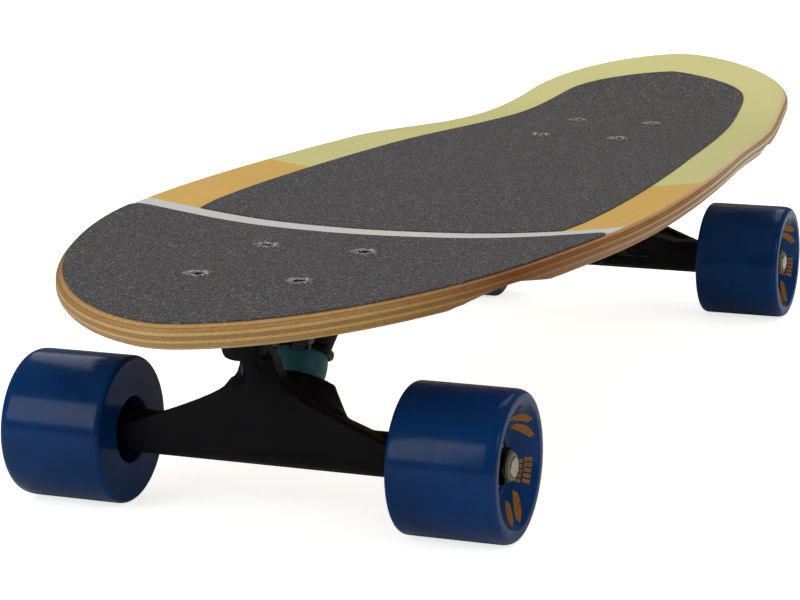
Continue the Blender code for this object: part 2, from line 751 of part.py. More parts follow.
def build_pivot_cup(end, pivot_line, looks):
    hollow = ball_profile(PIVOT_BALL_RADIUS + GAP, 0, 4)
    mouth_radius = PIVOT_BALL_RADIUS + 1.5 * GAP
    profile = [(0, CUP_RADIUS), (CUP_RADIUS, CUP_RADIUS), (CUP_RADIUS, -CUP_MOUTH)]
    profile += [(mouth_radius, -CUP_MOUTH)] + hollow[::-1]
    add_piece(f"{end}_pivot_cup", turned_mesh("cup", profile, SMALL_SIDES), looks["cup"], pivot_line)


def build_kingpin_stack(end, kingpin_line, looks):
    """Kingpin, nut, two bushings and their cup washers, all round one line."""
    quarter_turn = (0, 0, math.pi / 2)
    nut_end = KINGPIN_NUT_FROM - KINGPIN_NUT_HEIGHT
    pin_end = nut_end - KINGPIN_END_BEYOND
    head_top = HEAD_SEAT + KINGPIN_HEAD_HEIGHT
    pin_profile = [
        (0, head_top),
        (0, head_top, KINGPIN_NUT_ACROSS),
        (0, HEAD_SEAT, KINGPIN_NUT_ACROSS),
        (KINGPIN_RADIUS, HEAD_SEAT),
        (KINGPIN_RADIUS, pin_end),
        (0, pin_end),
    ]
    pin = turned_mesh("kingpin", pin_profile, HEX_SIDES, 0)
    add_piece(f"{end}_kingpin", pin, looks["steel"], kingpin_line, rotation=quarter_turn)

    nut_profile = [
        (0, KINGPIN_NUT_FROM, KINGPIN_NUT_ACROSS),
        (0, nut_end, KINGPIN_NUT_ACROSS),
        (KINGPIN_BORE, nut_end),
        (KINGPIN_BORE, KINGPIN_NUT_FROM),
    ]
    nut = turned_mesh("kingpin_nut", nut_profile, HEX_SIDES, 0)
    add_piece(f"{end}_kingpin_nut", nut, looks["dark_steel"], kingpin_line, rotation=quarter_turn)

    upper_top = UPPER_BUSHING_FROM + UPPER_BUSHING_HEIGHT
    upper_middle = (UPPER_BUSHING_FROM + upper_top) / 2
    bulged = UPPER_BUSHING_RADIUS + UPPER_BUSHING_BULGE
    upper_profile = [
        (UPPER_BUSHING_RADIUS, upper_top),
        (bulged, upper_middle),
        (UPPER_BUSHING_RADIUS, UPPER_BUSHING_FROM),
        (KINGPIN_BORE, UPPER_BUSHING_FROM),
        (KINGPIN_BORE, upper_top),
    ]
    upper = turned_mesh("upper_bushing", upper_profile, ROUND_SIDES)
    add_piece(f"{end}_upper_bushing", upper, looks["bushing"], kingpin_line)

    lower_end = LOWER_BUSHING_FROM - LOWER_BUSHING_HEIGHT
    lower_profile = [
        (UPPER_BUSHING_RADIUS, LOWER_BUSHING_FROM),
        (LOWER_BUSHING_RADIUS, lower_end),
        (KINGPIN_BORE, lower_end),
        (KINGPIN_BORE, LOWER_BUSHING_FROM),
    ]
    lower = turned_mesh("lower_bushing", lower_profile, ROUND_SIDES)
    add_piece(f"{end}_lower_bushing", lower, looks["bushing"], kingpin_line)

    washer_top = UPPER_WASHER_FROM + CUP_WASHER_THICKNESS
    rim = UPPER_WASHER_RADIUS - CUP_WASHER_THICKNESS
    upper_washer_profile = [
        (UPPER_WASHER_RADIUS, washer_top),
        (UPPER_WASHER_RADIUS, UPPER_WASHER_FROM - WASHER_LIP),
        (rim, UPPER_WASHER_FROM - WASHER_LIP),
        (rim, UPPER_WASHER_FROM),
        (KINGPIN_BORE, UPPER_WASHER_FROM),
        (KINGPIN_BORE, washer_top),
    ]
    upper_washer = turned_mesh("upper_washer", upper_washer_profile, ROUND_SIDES)
    add_piece(f"{end}_upper_cup_washer", upper_washer, looks["dark_steel"], kingpin_line)

    lower_washer_end = LOWER_WASHER_FROM - CUP_WASHER_THICKNESS
    lower_washer_profile = [
        (LOWER_WASHER_RADIUS, LOWER_WASHER_FROM),
        (LOWER_WASHER_RADIUS, lower_washer_end),
        (KINGPIN_BORE, lower_washer_end),
        (KINGPIN_BORE, LOWER_WASHER_FROM),
    ]
    lower_washer = turned_mesh("lower_washer", lower_washer_profile, ROUND_SIDES)
    add_piece(f"{end}_lower_cup_washer", lower_washer, looks["dark_steel"], kingpin_line)


def face_outboard(height):
    """Where the hanger's flat front lies at a height over the axle."""
    return lerp(FACE_LOW_OUTBOARD, FACE_HIGH_OUTBOARD, height / FACE_TOP)


def face_mesh():
    """The hanger's flat front: a narrow neck that sweeps out to the axle tube's ends."""
    flank = bezier(
        (FACE_TOP_HALF_WIDTH, FACE_TOP), FACE_NECK_LEAD, FACE_SWEEP, (FACE_REACH, FACE_FOOT_UP), 9
    )
    flank += [Vector((FACE_REACH, FACE_FOOT_UP)), Vector((FACE_REACH, 0))]
    outline = flank + [Vector((-p.x, p.y)) for p in reversed(flank)]
    front = [(p.x, face_outboard(p.y), p.y) for p in outline]
    back = [
        (x, y + lerp(FACE_THICKNESS, FACE_NECK_THICKNESS, z / FACE_TOP), z) for x, y, z in front
    ]
    return stacked_mesh("face", [front, back])


def web_section(y, corners):
    """A section across the hanger at one Y, through corners listed down its right side."""
    right = [(x, y, z) for x, z in corners]
    return right + [(-x, y, z) for x, _, z in reversed(right)]


def web_mesh():
    """The body of the hanger: from its flat front back to the ring, and out along the tube."""
    return stacked_mesh("web", [web_section(y, corners) for y, corners in WEB_SECTIONS])


def tube_mesh():
    shoulder_end = WHEEL_CENTRE - BEARING_OUTER_FACE - GAP
    shoulder_start = shoulder_end - SHOULDER_LENGTH
    wheel_face = WHEEL_CENTRE - WHEEL_WIDTH / 2
    half = [
        (0, shoulder_end),
        (SHOULDER_RADIUS, shoulder_end),
        (SHOULDER_RADIUS, shoulder_start),
        (TUBE_END_RADIUS, shoulder_start),
        (TUBE_END_RADIUS, wheel_face),
        (TUBE_RADIUS, wheel_face - TUBE_RADIUS + TUBE_END_RADIUS),
    ]
    profile = half + [(radius, -height) for radius, height in reversed(half)]
    tube = turned_mesh("tube", profile, ROUND_SIDES)
    tube.transform(Matrix.Rotation(math.pi / 2, 4, "Y"))
    return tube


def nose_mesh():
    """The pivot nose: a ball on a neck that widens to its root."""
    lowest = -math.radians(30)
    profile = ball_profile(PIVOT_BALL_RADIUS, lowest, 5)
    profile += [
        (PIVOT_NECK_RADIUS, -PIVOT_BALL_RADIUS * 0.8),
        (PIVOT_ROOT_RADIUS, -PIVOT_LENGTH),
        (0, -PIVOT_LENGTH),
    ]
    return turned_mesh("nose", profile, SMALL_SIDES)


def build_hanger(end, axle_line, hanger_kingpin_line, hanger_pivot_line, looks):
    hanger = add_piece(f"{end}_hanger", web_mesh(), looks["truck"], axle_line)
    ring_profile = [
        (0, RING_HALF_THICKNESS),
        (RING_RADIUS, RING_HALF_THICKNESS),
        (RING_RADIUS, -RING_HALF_THICKNESS),
        (0, -RING_HALF_THICKNESS),
    ]
    ring = turned_mesh("ring", ring_profile, ROUND_SIDES)
    bore_end = 2.5 * RING_HALF_THICKNESS
    pocket_end = -2 * RING_RADIUS
    bore_profile = [
        (0, bore_end),
        (RING_BORE, bore_end),
        (RING_BORE, -RING_HALF_THICKNESS),
        (POCKET_RADIUS, -RING_HALF_THICKNESS),
        (POCKET_RADIUS, pocket_end),
        (0, pocket_end),
    ]
    bore = turned_mesh("ring_bore", bore_profile, ROUND_SIDES)
    axle_bore_radius = AXLE_RADIUS + GAP
    reach = WHEEL_CENTRE + WHEEL_WIDTH
    axle_bore_profile = [(0, reach), (axle_bore_radius, reach), (axle_bore_radius, -reach), (0, -reach)]
    axle_bore = turned_mesh("axle_bore", axle_bore_profile, HOLE_SIDES)
    across = (0, math.pi / 2, 0)
    combine(hanger, add_tool(f"{end}_ring", ring, hanger_kingpin_line), "UNION")
    combine(hanger, add_tool(f"{end}_ring_bore", bore, hanger_kingpin_line), "DIFFERENCE")
    combine(hanger, add_tool(f"{end}_tube", tube_mesh(), axle_line), "UNION")
    combine(hanger, add_tool(f"{end}_face", face_mesh(), axle_line), "UNION")
    combine(hanger, add_tool(f"{end}_nose", nose_mesh(), hanger_pivot_line), "UNION")
    combine(hanger, add_tool(f"{end}_axle_bore", axle_bore, axle_line, (0, 0, 0), across), "DIFFERENCE")


def add_turned(name, mesh, look, parent, middle, side=1):
    """A turned piece on the axle line, its own Z pointing across the board to one side."""
    return add_piece(name, mesh, look, parent, (middle, 0, 0), (0, side * math.pi / 2, 0))


def build_axle(end, sides, axle_line, looks):
    """The axle with a speed washer and a nut at each end."""
    profile = [
        (0, AXLE_HALF_LENGTH),
        (AXLE_RADIUS, AXLE_HALF_LENGTH),
        (AXLE_RADIUS, -AXLE_HALF_LENGTH),
        (0, -AXLE_HALF_LENGTH),
    ]
    add_turned(f"{end}_axle", turned_mesh("axle", profile, HOLE_SIDES), looks["steel"], axle_line, 0)
    bore = AXLE_RADIUS + GAP
    washer_from = WHEEL_CENTRE + BEARING_OUTER_FACE + GAP
    nut_from = washer_from + SPEED_WASHER_THICKNESS + GAP
    washer_profile = [
        (SPEED_WASHER_RADIUS, SPEED_WASHER_THICKNESS),
        (SPEED_WASHER_RADIUS, 0),
        (bore, 0),
        (bore, SPEED_WASHER_THICKNESS),
    ]
    nut_profile = [
        (0, AXLE_NUT_HEIGHT, AXLE_NUT_ACROSS),
        (0, 0, AXLE_NUT_ACROSS),
        (bore, 0),
        (bore, AXLE_NUT_HEIGHT),
    ]
    washer = turned_mesh("speed_washer", washer_profile, HOLE_SIDES)
    nut = turned_mesh("axle_nut", nut_profile, HEX_SIDES, 0)
    for hand, side in sides:
        name = f"{end}_{hand}"
        add_turned(f"{name}_speed_washer", washer, looks["steel"], axle_line, side * washer_from, side)
        add_turned(f"{name}_axle_nut", nut, looks["dark_steel"], axle_line, side * nut_from, side)


def wheel_profile():
    """The wheel's section, its outer side at +height. Its flats, not its corners, touch the floor."""
    over_flats = 1 / math.cos(math.pi / WHEEL_SIDES)
    tread = WHEEL_RADIUS * over_flats
    half = WHEEL_WIDTH / 2
    seat = BEARING_RADIUS + SEAT_GAP
    seat_floor = BEARING_INNER_FACE - GAP
    seat_mouth = BEARING_OUTER_FACE + GAP
    lip = WHEEL_LIP
    soft = math.sqrt(0.5)
    return [
        (WHEEL_RECESS_RIM, half),
        (tread - lip, half),
        (tread - lip + lip * soft, half - lip + lip * soft),
        (tread, half - lip),
        (tread, -half + WHEEL_BACK_LIP),
        (tread - WHEEL_BACK_LIP, -half),
        (WHEEL_BACK_HOLE, -half),
        (WHEEL_BACK_HOLE, -seat_mouth),
        (seat, -seat_mouth),
        (seat, -seat_floor),
        (WHEEL_RIB_BORE, -seat_floor),
        (WHEEL_RIB_BORE, seat_floor),
        (seat, seat_floor),
        (seat, seat_mouth),
        (WHEEL_RECESS_FLOOR, seat_mouth),
    ]


def build_wheels(end, sides, axle_line, looks):
    """On each side a wheel with two bearings, and the spacer between them."""
    bore = AXLE_RADIUS + GAP
    bearing_profile = [
        (BEARING_RADIUS, BEARING_WIDTH / 2),
        (BEARING_RADIUS, -BEARING_WIDTH / 2),
        (bore, -BEARING_WIDTH / 2),
        (bore, BEARING_WIDTH / 2),
    ]
    half_spacer = SPACER_LENGTH / 2 - GAP
    spacer_profile = [
        (SPACER_RADIUS, half_spacer),
        (SPACER_RADIUS, -half_spacer),
        (bore, -half_spacer),
        (bore, half_spacer),
    ]
    wheel = turned_mesh("wheel", wheel_profile(), WHEEL_SIDES)
    bearing = turned_mesh("bearing", bearing_profile, SMALL_SIDES)
    spacer = turned_mesh("bearing_spacer", spacer_profile, HOLE_SIDES)
    bearing_offset = BEARING_INNER_FACE + BEARING_WIDTH / 2
    for hand, side in sides:
        name = f"{end}_{hand}"
        middle = side * WHEEL_CENTRE
        add_turned(f"{name}_wheel", wheel, looks["urethane"], axle_line, middle, side)
        add_turned(f"{name}_bearing_spacer", spacer, looks["steel"], axle_line, middle, side)
        for place, way in (("inner", -1), ("outer", 1)):
            x = middle + side * way * bearing_offset
            add_turned(f"{name}_{place}_bearing", bearing, looks["steel"], axle_line, x, side)


def bolt_profile():
    """A deck bolt with its lock nut, from the top of its head at height 0."""
    nut_top = PLATE_UNDERSIDE - GAP - (DECK_TOP + BOLT_HEAD_PROUD - AXLE_HEIGHT)
    nut_end = nut_top - BOLT_NUT_HEIGHT
    bolt_end = nut_end - BOLT_END_BEYOND
    return [
        (0, 0),
        (BOLT_HEAD_RADIUS, 0),
        (BOLT_RADIUS, -BOLT_HEAD_DEPTH),
        (BOLT_RADIUS, nut_top),
        (0, nut_top, BOLT_NUT_ACROSS),
        (0, nut_end, BOLT_NUT_ACROSS),
        (BOLT_RADIUS, nut_end),
        (BOLT_RADIUS, bolt_end),
        (0, bolt_end),
    ]


def build_bolts(end, truck, looks):
    bolt = turned_mesh("deck_bolt", bolt_profile(), HEX_SIDES, 0)
    height = DECK_TOP + BOLT_HEAD_PROUD - AXLE_HEIGHT
    for number, (x, y) in enumerate(bolt_places(), 1):
        add_piece(f"{end}_deck_bolt_{number}", bolt, looks["dark_steel"], truck, (x, y, height))


def build_truck(end, station, turn, board, looks):
    """One truck. Its fixed half hangs on the board, its hanger on the steering line."""
    facing = 1 if turn == 0 else -1
    sides = [("left", -facing), ("right", facing)]
    truck = empty(f"{end}_truck", board, (0, station, AXLE_HEIGHT), turn)
    kingpin_line = empty(f"{end}_kingpin_line", truck, RING_CENTRE, lean=-KINGPIN_TILT)
    nose_lean = math.pi / 2 - NOSE_TILT
    pivot_line = empty(f"{end}_pivot_line", truck, PIVOT_CENTRE, lean=nose_lean)
    steer = empty(f"{end}_steer", truck, RING_CENTRE)
    axle_line = empty(f"{end}_axle_line", steer, -RING_CENTRE)
    hanger_kingpin = empty(f"{end}_hanger_kingpin_line", steer, lean=-KINGPIN_TILT)
    hanger_pivot = empty(f"{end}_hanger_pivot_line", axle_line, PIVOT_CENTRE, lean=nose_lean)

    holes = bolt_hole_tool(f"{end}_bolt_holes", truck)
    build_riser(end, truck, holes, looks)
    build_baseplate(end, truck, kingpin_line, pivot_line, holes, looks)
    build_pivot_cup(end, pivot_line, looks)
    build_kingpin_stack(end, kingpin_line, looks)
    build_hanger(end, axle_line, hanger_kingpin, hanger_pivot, looks)
    build_axle(end, sides, axle_line, looks)
    build_wheels(end, sides, axle_line, looks)
    build_bolts(end, truck, looks)


def build():
    clear_scene()
    looks = {
        "maple": material("maple", (0.45, 0.27, 0.12), 0.35),
        "grit": material("grit", (0.09, 0.088, 0.085), 0.95),
        "riser": material("riser", (0.02, 0.02, 0.02), 0.7),
        "truck": material("truck_black", (0.012, 0.012, 0.014), 0.4),
        "steel": material("steel", (0.55, 0.55, 0.54), 0.3, 1.0),
        "dark_steel": material("dark_steel", (0.03, 0.03, 0.03), 0.35, 1.0),
        "cup": material("cup_plastic", (0.03, 0.03, 0.03), 0.6),
        "bushing": material("bushing_urethane", (0.02, 0.08, 0.09), 0.35),
        "urethane": material("wheel_urethane", (0.006, 0.03, 0.13), 0.15),
    }
    board = empty("board", None, (0, -MID_STATION_SHIFT, 0))
    build_deck(board, looks)
    build_truck("front", -AXLE_STATION, 0, board, looks)
    build_truck("rear", AXLE_STATION, math.pi, board, looks)


build()
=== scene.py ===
"""The looks of a cruiser skateboard: fine surfaces, finishes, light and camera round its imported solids.

X is across the board, Y runs from the nose to the tail and Z is up from the floor, in metres.
Places along the board are given as stations, measured from the middle of the wheelbase.
Turned pieces are drawn as half sections (radius, height, rounding of that corner).
"""

import json
import math

import bmesh
import bpy
from bpy.props import FloatProperty, FloatVectorProperty, IntProperty, PointerProperty
from mathutils import Matrix, Vector, noise


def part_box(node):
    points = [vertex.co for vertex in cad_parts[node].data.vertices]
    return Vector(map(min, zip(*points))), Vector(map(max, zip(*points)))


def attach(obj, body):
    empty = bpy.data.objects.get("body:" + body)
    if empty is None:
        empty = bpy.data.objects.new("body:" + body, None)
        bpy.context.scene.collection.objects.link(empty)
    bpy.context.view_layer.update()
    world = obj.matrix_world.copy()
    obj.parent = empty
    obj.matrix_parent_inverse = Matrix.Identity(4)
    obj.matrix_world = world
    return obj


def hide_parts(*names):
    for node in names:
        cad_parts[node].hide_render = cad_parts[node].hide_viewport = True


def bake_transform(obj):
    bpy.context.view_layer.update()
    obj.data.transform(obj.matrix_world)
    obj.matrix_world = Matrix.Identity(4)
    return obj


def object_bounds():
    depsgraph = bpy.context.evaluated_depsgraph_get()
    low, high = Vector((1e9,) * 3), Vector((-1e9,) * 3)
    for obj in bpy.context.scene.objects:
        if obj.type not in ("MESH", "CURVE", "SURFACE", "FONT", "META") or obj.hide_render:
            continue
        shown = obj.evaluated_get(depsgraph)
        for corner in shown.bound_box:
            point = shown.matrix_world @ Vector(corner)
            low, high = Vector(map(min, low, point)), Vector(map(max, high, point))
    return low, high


bl_info = {
    "name": "Cruiser skateboard",
    "version": (1, 0, 0),
    "blender": (4, 5, 0),
    "location": "View3D > Sidebar > Cruiser",
    "description": "Builds the surfaces and finishes of a cruiser skateboard round its solids",
    "category": "Object",
}

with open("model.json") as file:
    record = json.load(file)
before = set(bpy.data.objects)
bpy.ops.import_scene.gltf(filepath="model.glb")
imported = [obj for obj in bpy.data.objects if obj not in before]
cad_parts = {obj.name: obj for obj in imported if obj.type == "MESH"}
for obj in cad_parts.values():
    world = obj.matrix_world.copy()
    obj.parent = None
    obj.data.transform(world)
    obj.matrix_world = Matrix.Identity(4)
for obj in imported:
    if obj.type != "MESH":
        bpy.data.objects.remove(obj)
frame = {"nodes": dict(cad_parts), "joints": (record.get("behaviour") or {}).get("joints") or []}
CAD_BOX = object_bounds()
MM = 0.001
ENDS = ("front", "rear")
BOLTS_TO_A_TRUCK = 4
HANDS = (("left", -1), ("right", 1))
DECK_LOW, DECK_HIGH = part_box("deck")
PI = math.pi
# Anything nearer than this is at the same place
TINY = 1e-6

# Deck outline, by stations and half widths
NOSE_REACH = 315.1 * MM
TAIL_REACH = 382.6 * MM
MID_STATION_SHIFT = (TAIL_REACH - NOSE_REACH) / 2
BELLY_HALF_WIDTH = DECK_HIGH.x
BELLY_STATION = -58.6 * MM
SHOULDER_HALF_WIDTH = 76 * MM
SHOULDER_STATION = 315.7 * MM
SHOULDER_TAPER = 0.11
NOSE_BLUNTNESS = 24.5 * MM
TAIL_BLUNTNESS = 17 * MM
BELLY_SWEEP_TO_NOSE = 205 * MM
BELLY_SWEEP_TO_TAIL = 135 * MM
SHOULDER_SWEEP_TO_BELLY = 46.7 * MM
SHOULDER_SWEEP_TO_TAIL = 50.2 * MM

# Deck section, and the wells above the wheels
DECK_TOP = 95.7 * MM
DECK_THICKNESS = 9.3 * MM
CONCAVE_RISE = 5.4 * MM
FLAT_SHARE = 0.36
CONCAVE_RAMP_FROM_NOSE = 180 * MM
CONCAVE_FADE_START = 100 * MM
CONCAVE_FADE_END = 235 * MM
NOSE_DROP_STATION = -236 * MM
NOSE_DROP_RADIUS = 1840 * MM
KICK_STATION = 240 * MM
KICK_RADIUS = 430 * MM
WELL_RADIUS = 125 * MM
WELL_REACH = 0.9 * WELL_RADIUS
WELL_DEPTH = 4.2 * MM
WELL_FADE_WIDTH = 42 * MM
FRONT_WELL_INBOARD = 14 * MM
REAR_WELL_INBOARD = 5 * MM

# Grit sheets and the painted stripe between them
GRIP_THICKNESS = 0.45 * MM
GRIP_LIFT = 0.1 * MM
NOSE_GRIP_MARGIN = 2.7 * MM
NOSE_GRIP_CORNER = 9 * MM
STRIPE_STATION = -128.8 * MM
STRIPE_BOW = 15.3 * MM
STRIPE_SPREAD = 104 * MM
STRIPE_WIDTH = 14.5 * MM
BORDER_END_STATION = 17 * MM
MAIN_GRIP_MARGIN = 27.1 * MM
MAIN_GRIP_MARGIN_WAIST = 23.6 * MM
MAIN_GRIP_MARGIN_TAIL = 29.6 * MM
TAIL_CORNER_EASING = 40
BOLT_HOLE_RADIUS = 5.6 * MM
TORN_INNER = 2.9 * MM
TORN_OUTER = 8 * MM
TORN_SINK = 0.15 * MM
# Torn edges as waves round the hole: (share of the radius, fineness)
HOLE_TEAR = ((1, 2.3), (0.6, 7))
HOLE_ROUGHNESS = 0.22
HOLE_SEED_STEP = 3.7
RING_EDGE = ((0.5, 1.7), (0.25, 6))
RING_FRAY = ((0.35, 3.3),)
RING_SEED_STEP = 1.9
RING_CURL = 1.1
RING_CURL_FINENESS = 2.6
# The lifted paper's section: share of the ring's width, and height in mm
TORN_SECTION = ((0.0, 0.0), (0.0, 0.4), (0.4, 0.6), (1.0, 0.12), (1.0, 0.0))

# How finely the sheets are meshed: steps along the nose, the flank and the tail, and points across
EDGE_STEPS = (60, 60, 60)
DECK_STEPS = (54, 66, 48)
NOSE_GRIP_STEPS = (54, 40, 4)
MAIN_GRIP_STEPS = (20, 66, 48)
SHEET_COLUMNS = 48
RAIL_STEPS = 6
CORNER_STEPS = 8
PAINTED_RAIL_TURN = 0.3
SHEET_CREASE = 50

# Camera, fitted to the photograph's wheels and bolt heads
CAMERA_PLACE = Vector((389.55, -1110.17, 275.05)) * MM
CAMERA_TURN = (math.radians(78.14), math.radians(0.04), math.radians(20.94))
CAMERA_LENS = 114.63
CAMERA_SHIFT = (-0.0239, 0.0222)
CAMERA_NEAR = 0.05
CAMERA_FAR = 50

# Floor, and lamps as (name, place in metres, size in metres, share of the softbox power)
FLOOR_HALF_WIDTH = 7.0
LAMPS = (
    ("softbox_overhead", (-0.4, 1.1, 1.6), 1.7, 1.0),
    ("softbox_front", (-0.8, -1.5, 0.75), 0.9, 0.6),
    ("softbox_right", (1.6, -0.6, 0.9), 0.5, 0.25),
)


def linear(code):
    """An sRGB hex colour as the linear values that shaders take."""
    parts = [int(code[i:i + 2], 16) / 255 for i in (1, 3, 5)]
    return tuple(p / 12.92 if p <= 0.04045 else ((p + 0.055) / 1.055) ** 2.4 for p in parts)


class BoardSettings(bpy.types.PropertyGroup):
    """Sizes and colours of the deck, its paint and its grit sheets."""

    rail_radius: FloatProperty(
        name="Rail radius", description="Rounding of the deck's edge", default=4 * MM, unit="LENGTH")
    ply_count: IntProperty(
        name="Plies", description="Veneers pressed into the deck", default=7, min=3, max=11)
    stripe_colour: FloatVectorProperty(
        name="Stripe", description="Paint of the bowed stripe", size=3, subtype="COLOR",
        default=linear("#D2D2CC"))
    bare_colour: FloatVectorProperty(
        name="Bare wood", description="Lacquered maple round the nose sheet", size=3, subtype="COLOR",
        default=linear("#CC9F68"))
    border_colour: FloatVectorProperty(
        name="Border", description="Paint beside the main grit sheet", size=3, subtype="COLOR",
        default=linear("#DFB04C"))
    tail_colour: FloatVectorProperty(
        name="Tail", description="Paint round the tail", size=3, subtype="COLOR",
        default=linear("#D6CF86"))
    grit_colour: FloatVectorProperty(
        name="Grit", description="Binder between the grains", size=3, subtype="COLOR",
        default=linear("#504D4D"))
    grain_size: FloatProperty(
        name="Grain", description="Size of the grains that show", default=0.5 * MM, unit="LENGTH")


class WheelSettings(bpy.types.PropertyGroup):
    """Sizes and colours of the wheels."""

    lip_radius: FloatProperty(
        name="Outer lip", description="Rounding of the wheel's outer edge", default=5 * MM,
        unit="LENGTH")
    back_lip_radius: FloatProperty(
        name="Inner lip", description="Rounding of the wheel's inner edge", default=2.5 * MM,
        unit="LENGTH")
    urethane_colour: FloatVectorProperty(
        name="Urethane", description="Colour of the cast wheel", size=3, subtype="COLOR",
        default=linear("#042F60"))
    ink_colour: FloatVectorProperty(
        name="Ink", description="Print in the wheel's recess", size=3, subtype="COLOR",
        default=linear("#8A5C18"))


class TruckSettings(bpy.types.PropertyGroup):
    """Sizes and colours of the trucks."""

    casting_voxel: FloatProperty(
        name="Casting detail", description="Cell of the mesh that rounds the castings",
        default=0.75 * MM, unit="LENGTH")
    casting_rounds: IntProperty(
        name="Casting rounding", description="Steps that soften the castings' edges", default=7, min=0)
    coat_colour: FloatVectorProperty(
        name="Coat", description="Powder coat of the castings", size=3, subtype="COLOR",
        default=linear("#0B0C0F"))
    bushing_colour: FloatVectorProperty(
        name="Bushing", description="Colour of the bushings", size=3, subtype="COLOR",
        default=linear("#3A7478"))


class StageSettings(bpy.types.PropertyGroup):
    """Light and floor."""

    softbox_power: FloatProperty(
        name="Softbox", description="Power of the light overhead", default=13.0, unit="POWER")
    room_strength: FloatProperty(
        name="Room", description="Strength of the light from all round", default=0.55)
    mirrored_strength: FloatProperty(
        name="Mirrored room", description="Strength of the room as glossy things mirror it", default=0.15)
    floor_glow: FloatProperty(
        name="Floor white", description="How far the floor is lifted to white without lighting anything",
        default=0.74)
    floor_colour: FloatVectorProperty(
        name="Floor", description="Colour of the floor", size=3, subtype="COLOR",
        default=linear("#F4F4F2"))


def connect(tree, node, inputs):
    """Sets a node's inputs to values, or links them to other nodes and sockets."""
    for key, value in inputs.items():
        if isinstance(value, bpy.types.Node):
            tree.links.new(value.outputs[0], node.inputs[key])
        elif isinstance(value, bpy.types.NodeSocket):
            tree.links.new(value, node.inputs[key])
        else:
            node.inputs[key].default_value = value


def add_node(tree, kind, inputs=None, stops=None, **settings):
    """A shader node with its settings, its inputs set or linked, and a ramp's (place, colour) stops."""
    node = tree.nodes.new("ShaderNode" + kind)
    for name, value in settings.items():
        setattr(node, name, value)
    connect(tree, node, inputs or {})
    for i, (place, colour) in enumerate(stops or ()):
        ends = node.color_ramp.elements
        stop = ends[i] if i < 2 else ends.new(place)
        stop.position = place
        stop.color = (*colour, 1)
    return node


def new_material(name, colour, roughness, **values):
    """A material with its even values on the shader's own sockets, its node tree and that shader."""
    made = bpy.data.materials.new(name)
    made.use_nodes = True
    shader = made.node_tree.nodes["Principled BSDF"]
    shader.inputs["Base Color"].default_value = (*colour, 1)
    shader.inputs["Roughness"].default_value = roughness
    for key, value in values.items():
        shader.inputs[key.replace("_", " ")].default_value = value
    return made, made.node_tree, shader


def grey(level):
    """A colour with the same level of red, green and blue."""
    return (level, level, level)


def lerp(a, b, share):
    """The value a share of the way from a to b."""
    return a + (b - a) * share


def smoothstep(share):
    """The share eased in and out, and kept between 0 and 1."""
    share = min(1.0, max(0.0, share))
    return share * share * (3 - 2 * share)


def around_z(radius, turn, height=0.0):
    """The point at a radius, a turn about Z and a height."""
    return (radius * math.cos(turn), radius * math.sin(turn), height)


def turns(sides):
    """The turns of evenly spaced points round a circle."""
    return [2 * PI * k / sides for k in range(sides)]


def ring_faces(rings, sides, closed=True):
    """Faces between rings of points, and from the last ring to the first where they close on it."""
    faces = []
    for ring in range(rings if closed else rings - 1):
        here = ring * sides
        on = (ring + 1) % rings * sides
        for k in range(sides):
            after = (k + 1) % sides
            faces.append((here + k, here + after, on + after, on + k))
    return faces


def capped(rings, sides):
    """The faces of a solid through rings of points, with its two ends closed."""
    last = (rings - 1) * sides
    ends = [list(range(sides)), list(range(last, last + sides))]
    return ends + ring_faces(rings, sides, closed=False)


def shade(mesh, angle=35):
    """Smooth shading that keeps edges sharper than an angle."""
    mesh.shade_smooth()
    mesh.set_sharp_from_angle(angle=math.radians(angle))
    return mesh


def mesh_from(name, vertices, faces, angle=35):
    """A closed mesh with its faces pointing out."""
    mesh = bpy.data.meshes.new(name)
    mesh.from_pydata([tuple(v) for v in vertices], [], faces)
    shape = bmesh.new()
    shape.from_mesh(mesh)
    bmesh.ops.remove_doubles(shape, verts=shape.verts, dist=TINY)
    bmesh.ops.recalc_face_normals(shape, faces=shape.faces)
    shape.to_mesh(mesh)
    shape.free()
    return shade(mesh, angle)


def add_piece(name, mesh, materials, body, place=None, replaces=()):
    """A piece at its place, with its materials, that rides on a body and may stand for solids."""
    piece = bpy.data.objects.new(name, mesh)
    bpy.context.scene.collection.objects.link(piece)
    piece.matrix_world = place or Matrix()
    for material in materials:
        mesh.materials.append(material)
    if body:
        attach(piece, body)
    if replaces:
        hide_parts(*replaces)
    return piece


def settled(piece):
    """The piece's modifiers worked into its mesh."""
    bpy.context.view_layer.update()
    whole = piece.evaluated_get(bpy.context.evaluated_depsgraph_get())
    mesh = bpy.data.meshes.new_from_object(whole)
    mesh.name = piece.data.name
    piece.modifiers.clear()
    piece.data = mesh
    return piece


def cut(piece, tool_mesh, place=None):
    """Takes a solid out of a piece."""
    tool = bpy.data.objects.new("tool", tool_mesh)
    bpy.context.scene.collection.objects.link(tool)
    tool.matrix_world = place or Matrix()
    step = piece.modifiers.new("cut", "BOOLEAN")
    step.operation = "DIFFERENCE"
    step.object = tool
    settled(piece)
    bpy.data.objects.remove(tool)


# The most that a corner's rounding may take of each side that meets there
LONGEST_ROUNDING = 0.49


def rounded_corner(start, corner, end, steps):
    """Points of the bend from start to end that a corner pulls out."""
    shares = [step / steps for step in range(steps + 1)]
    return [start.lerp(corner, t).lerp(corner.lerp(end, t), t) for t in shares]


def softened(corners, closed, steps=5):
    """A half section with each corner rounded as it says."""
    outline = []
    count = len(corners)
    for i, (radius, height, rounding) in enumerate(corners):
        here = Vector((radius, height))
        if not rounding or (not closed and i in (0, count - 1)):
            outline.append(here)
            continue
        back = Vector(corners[i - 1][:2]) - here
        on = Vector(corners[(i + 1) % count][:2]) - here
        start = here + back.normalized() * min(rounding, back.length * LONGEST_ROUNDING)
        end = here + on.normalized() * min(rounding, on.length * LONGEST_ROUNDING)
        outline += rounded_corner(start, here, end, steps)
    return outline


